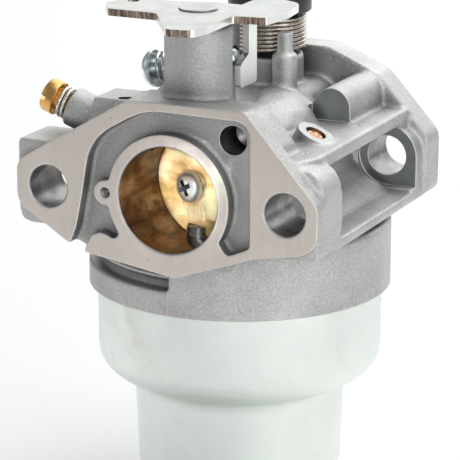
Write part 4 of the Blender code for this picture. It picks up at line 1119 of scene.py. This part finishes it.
# ---------------------------------------------------------------- small turned pieces
def make_turned(gold, copper, rubber):
    """Everything simply turned: (piece, CAD node, body, profile, base, direction, look)."""
    steel = wire("ground_steel", (0.74, 0.74, 0.73), (0.55, 0.55, 0.55))
    inlet, inlet_dir = inlet_frame()
    bowl_axis = (0, BOWL_Y, 0)
    ring = [(23.0, -18.6), (23.15, -18.75), (24.65, -18.75), (24.8, -18.6), (24.8, -17.7),
            (24.65, -17.55), (23.15, -17.55), (23.0, -17.7), (23.0, -18.6)]
    washer = [(3.5, -58.2), (3.6, -58.3), (6.5, -58.3), (6.6, -58.2), (6.6, -57.3), (6.5, -57.2),
              (3.6, -57.2), (3.5, -57.3), (3.5, -58.2)]
    seal = [(2.12, 0), (4.1, 0), (4.2, 0.1), (4.2, 0.6), (4.0, 0.75), (2.3, 0.75), (2.12, 0.6),
            (2.12, 0)]
    pin = [(0, 0), (0.65, 0), (0.8, 0.15), (0.8, 15.05), (0.65, 15.2), (0, 15.2)]
    needle = [(0, 0), (1.35, 0), (1.5, 0.15), (1.5, 4.2), (0.95, 4.8), (0.3, 5.8), (0, 5.9)]
    seat = [(1.7, -17.2), (2.35, -17.2), (2.35, -12.9), (0.7, -12.9), (0.7, -14.0), (1.7, -14.8),
            (1.7, -17.2)]
    nozzle = [(1.0, -45.0), (2.4, -45.0), (2.55, -44.8), (2.55, -41.0), (2.3, -40.8), (2.3, -39.6),
              (2.55, -39.4), (2.55, -9.0), (1.9, -8.0), (1.9, -5.35), (1.75, -5.2), (1.0, -5.2),
              (1.0, -45.0)]
    main_jet = [(0.45, -48.6), (0.8, -49.0), (2.35, -49.0), (2.5, -48.8), (2.5, -45.3),
                (0.8, -45.3),
                (0.45, -45.7), (0.45, -48.6)]
    pilot_jet = [(0, -4.8), (1.5, -4.8), (1.5, -0.55), (1.3, -0.3), (0.8, -0.22), (0.45, -0.45),
                 (0, -0.5)]
    air_jet = [(0.45, 0.3), (0.7, 0), (1.3, 0), (1.4, 0.1), (1.4, 3.2), (0.45, 3.2), (0.45, 0.3)]
    plug = [(0, 0), (0.95, 0), (0.95, 1.3), (0.85, 1.6), (0.55, 1.83), (0, 1.9)]
    pipe = [(1.4, 0.5), (2.4, 0.5), (2.4, 9.0), (2.15, 9.2), (2.15, 12.4), (2.8, 13.0),
            (2.8, 13.25),
            (2.3, 15.0), (2.1, 15.9), (2.0, 16.0), (1.5, 16.0), (1.4, 15.9), (1.4, 0.5)]
    rows = [
        ("bowl_seal", "bowl_gasket", "casting", ring, bowl_axis, UP, rubber),
        ("bolt_washer", "bowl_washer", "casting", washer, bowl_axis, UP, rubber),
        ("spindle_seal", "throttle_seal", "casting", seal, (0, THROTTLE_Y, 27.75), UP, rubber),
        ("hinge_pin", "float_pin", "casting", pin, (-7.6, PIN_Y, PIN_Z), ACROSS, steel),
        ("inlet_needle", "float_needle", "needle", needle, (0, NEEDLE_Y, -20.3), UP, steel),
        ("needle_bush", "needle_seat", "casting", seat, (0, NEEDLE_Y, 0), UP, gold),
        ("emulsion_tube", "main_nozzle", "casting", nozzle, bowl_axis, UP, gold),
        ("metering_jet", "main_jet", "casting", main_jet, bowl_axis, UP, gold),
        ("slow_jet", "pilot_jet", "casting", pilot_jet, JET_TOP, JET_DIR, copper),
        ("air_jet_left", "main_air_jet", "casting", air_jet, (-6.3, 49.0, 10.9), ALONG, gold),
        ("air_jet_right", "pilot_air_jet", "casting", air_jet, (6.3, 49.0, 10.9), ALONG, gold),
        ("passage_plug", "ball_plug", "casting", plug, (-9.6, 4.9, 12.7), UP, copper),
        ("fuel_pipe", "fuel_inlet", "casting", pipe, inlet, inlet_dir, gold),
    ]
    for name, node, body, profile, base, direction, look in rows:
        made = to_object(name, revolve(profile, base, direction, 72))
        finish_piece(made, [look], body, node, 30)


def make_small_parts(blue_zinc):
    gold = brass("jet_brass", (0.79, 0.57, 0.24), (0.60, 0.40, 0.15))
    copper = brass("copper_plug", (0.60, 0.33, 0.18), (0.36, 0.18, 0.09), 0.18)
    rubber = moulded("black_rubber", (0.040, 0.040, 0.040), (0.020, 0.020, 0.020), 0.6)
    make_turned(gold, copper, rubber)
    disc_place = DISC_PLACE @ Matrix.Rotation(math.radians(-90), 4, "X")
    choke_place = Matrix.Translation((0, CHOKE_Y, 0)) @ Matrix.Rotation(math.radians(90), 4, "Y")
    # the second look is a dark zinc in the cross recesses: painted shade
    looks = [blue_zinc, wire("recess_painted_shade", (0.22, 0.30, 0.33), (0.10, 0.14, 0.16))]
    pan_screw("butterfly_screw", -DISC_T / 2 - 1.2, looks, "throttle", "throttle_screw", disc_place)
    pan_screw("choke_plate_screw", -DISC_T / 2 - 0.05, looks, "choke", "choke_screw", choke_place)
    washer_look = wire("washer_steel", (0.80, 0.76, 0.66), (0.52, 0.48, 0.40))
    split_washer("spring_washer", 1.6, 2.35, -DISC_T / 2 - 1.1, 0.9, washer_look, "throttle",
                 "lock_washer", disc_place)


# ---------------------------------------------------------------- studio
def make_camera():
    """Long lens, a little above the part and to its right."""
    data = bpy.data.cameras.new("camera")
    data.lens, data.sensor_width = 203.48, 36.0
    data.clip_start, data.clip_end = 0.01, 20.0
    camera = bpy.data.objects.new("camera", data)
    bpy.context.scene.collection.objects.link(camera)
    yaw, rise, roll = (math.radians(a) for a in (25.125, 15.744, 0.087))
    back = Vector((math.sin(yaw) * math.cos(rise), -math.cos(yaw) * math.cos(rise), math.sin(rise)))
    target = Vector((4.344, 15.0, -8.201))
    distance = 438.67
    camera.location = (target + back * distance) * MM
    camera.rotation_mode = "QUATERNION"
    level = (-back).to_track_quat("-Z", "Y")
    camera.rotation_quaternion = level @ Matrix.Rotation(roll, 3, "Z").to_quaternion()
    bpy.context.scene.camera = camera


def softbox(name, place, size, watts, aim_at=(0, 25, -15), spread=180.0):
    """Square area light aimed at the part; place, size and aim are in mm, spread in degrees."""
    data = bpy.data.lights.new(name, "AREA")
    data.shape = "SQUARE"
    data.size = size * MM
    data.energy = watts
    data.spread = math.radians(spread)
    lamp = bpy.data.objects.new(name, data)
    bpy.context.scene.collection.objects.link(lamp)
    lamp.location = Vector(place) * MM
    lamp.rotation_mode = "QUATERNION"
    aim = Vector(aim_at) - Vector(place)
    lamp.rotation_quaternion = aim.to_track_quat("-Z", "Y")


def make_studio():
    world = bpy.data.worlds.new("studio")
    world.use_nodes = True
    sky = world.node_tree.nodes["Background"].inputs
    sky["Color"].default_value, sky["Strength"].default_value = (0.96, 0.98, 1.0, 1.0), 0.30
    bpy.context.scene.world = world
    softbox("back", (-40, 700, 450), 1050, 5.2)
    softbox("top", (180, 90, 600), 620, 2.4)
    softbox("right", (520, -250, 190), 520, 1.15)
    softbox("left", (-560, -200, 260), 380, 0.25)
    softbox("front", (200, -640, 170), 260, 0.55)
    # a snooted lamp that only reaches down the bore
    softbox("snoot", (150, -620, 100), 12, 0.0022, (0, 6, 0), 1.0)
    p = Paint("floor", metallic=0.0)
    p.done(p.ramp(p.noise(400.0, 2.0), [(0.3, 0.90), (0.7, 0.93)]), 0.9)
    bm = bmesh.new()
    bmesh.ops.create_grid(bm, x_segments=8, y_segments=8, size=3000)
    bmesh.ops.translate(bm, vec=(0, 0, cad_low.z / MM), verts=bm.verts)
    floor = to_object("studio_floor", bm)
    floor.data.materials.append(p.material)
    bpy.context.scene.view_settings.view_transform = "Standard"


make_casting()
make_bowl()
make_float()
make_bowl_bolt()
plate_zinc = zinc("worn_zinc", (0.46, 0.47, 0.45), (0.40, 0.41, 0.39), 0.38, 0.3, 4.0,
                  (0.42, 0.39, 0.36))
make_throttle_shaft(plate_zinc)
make_throttle_lever(plate_zinc)
make_throttle_disc()
make_choke()
make_small_parts(make_screws())
make_studio()
make_camera()
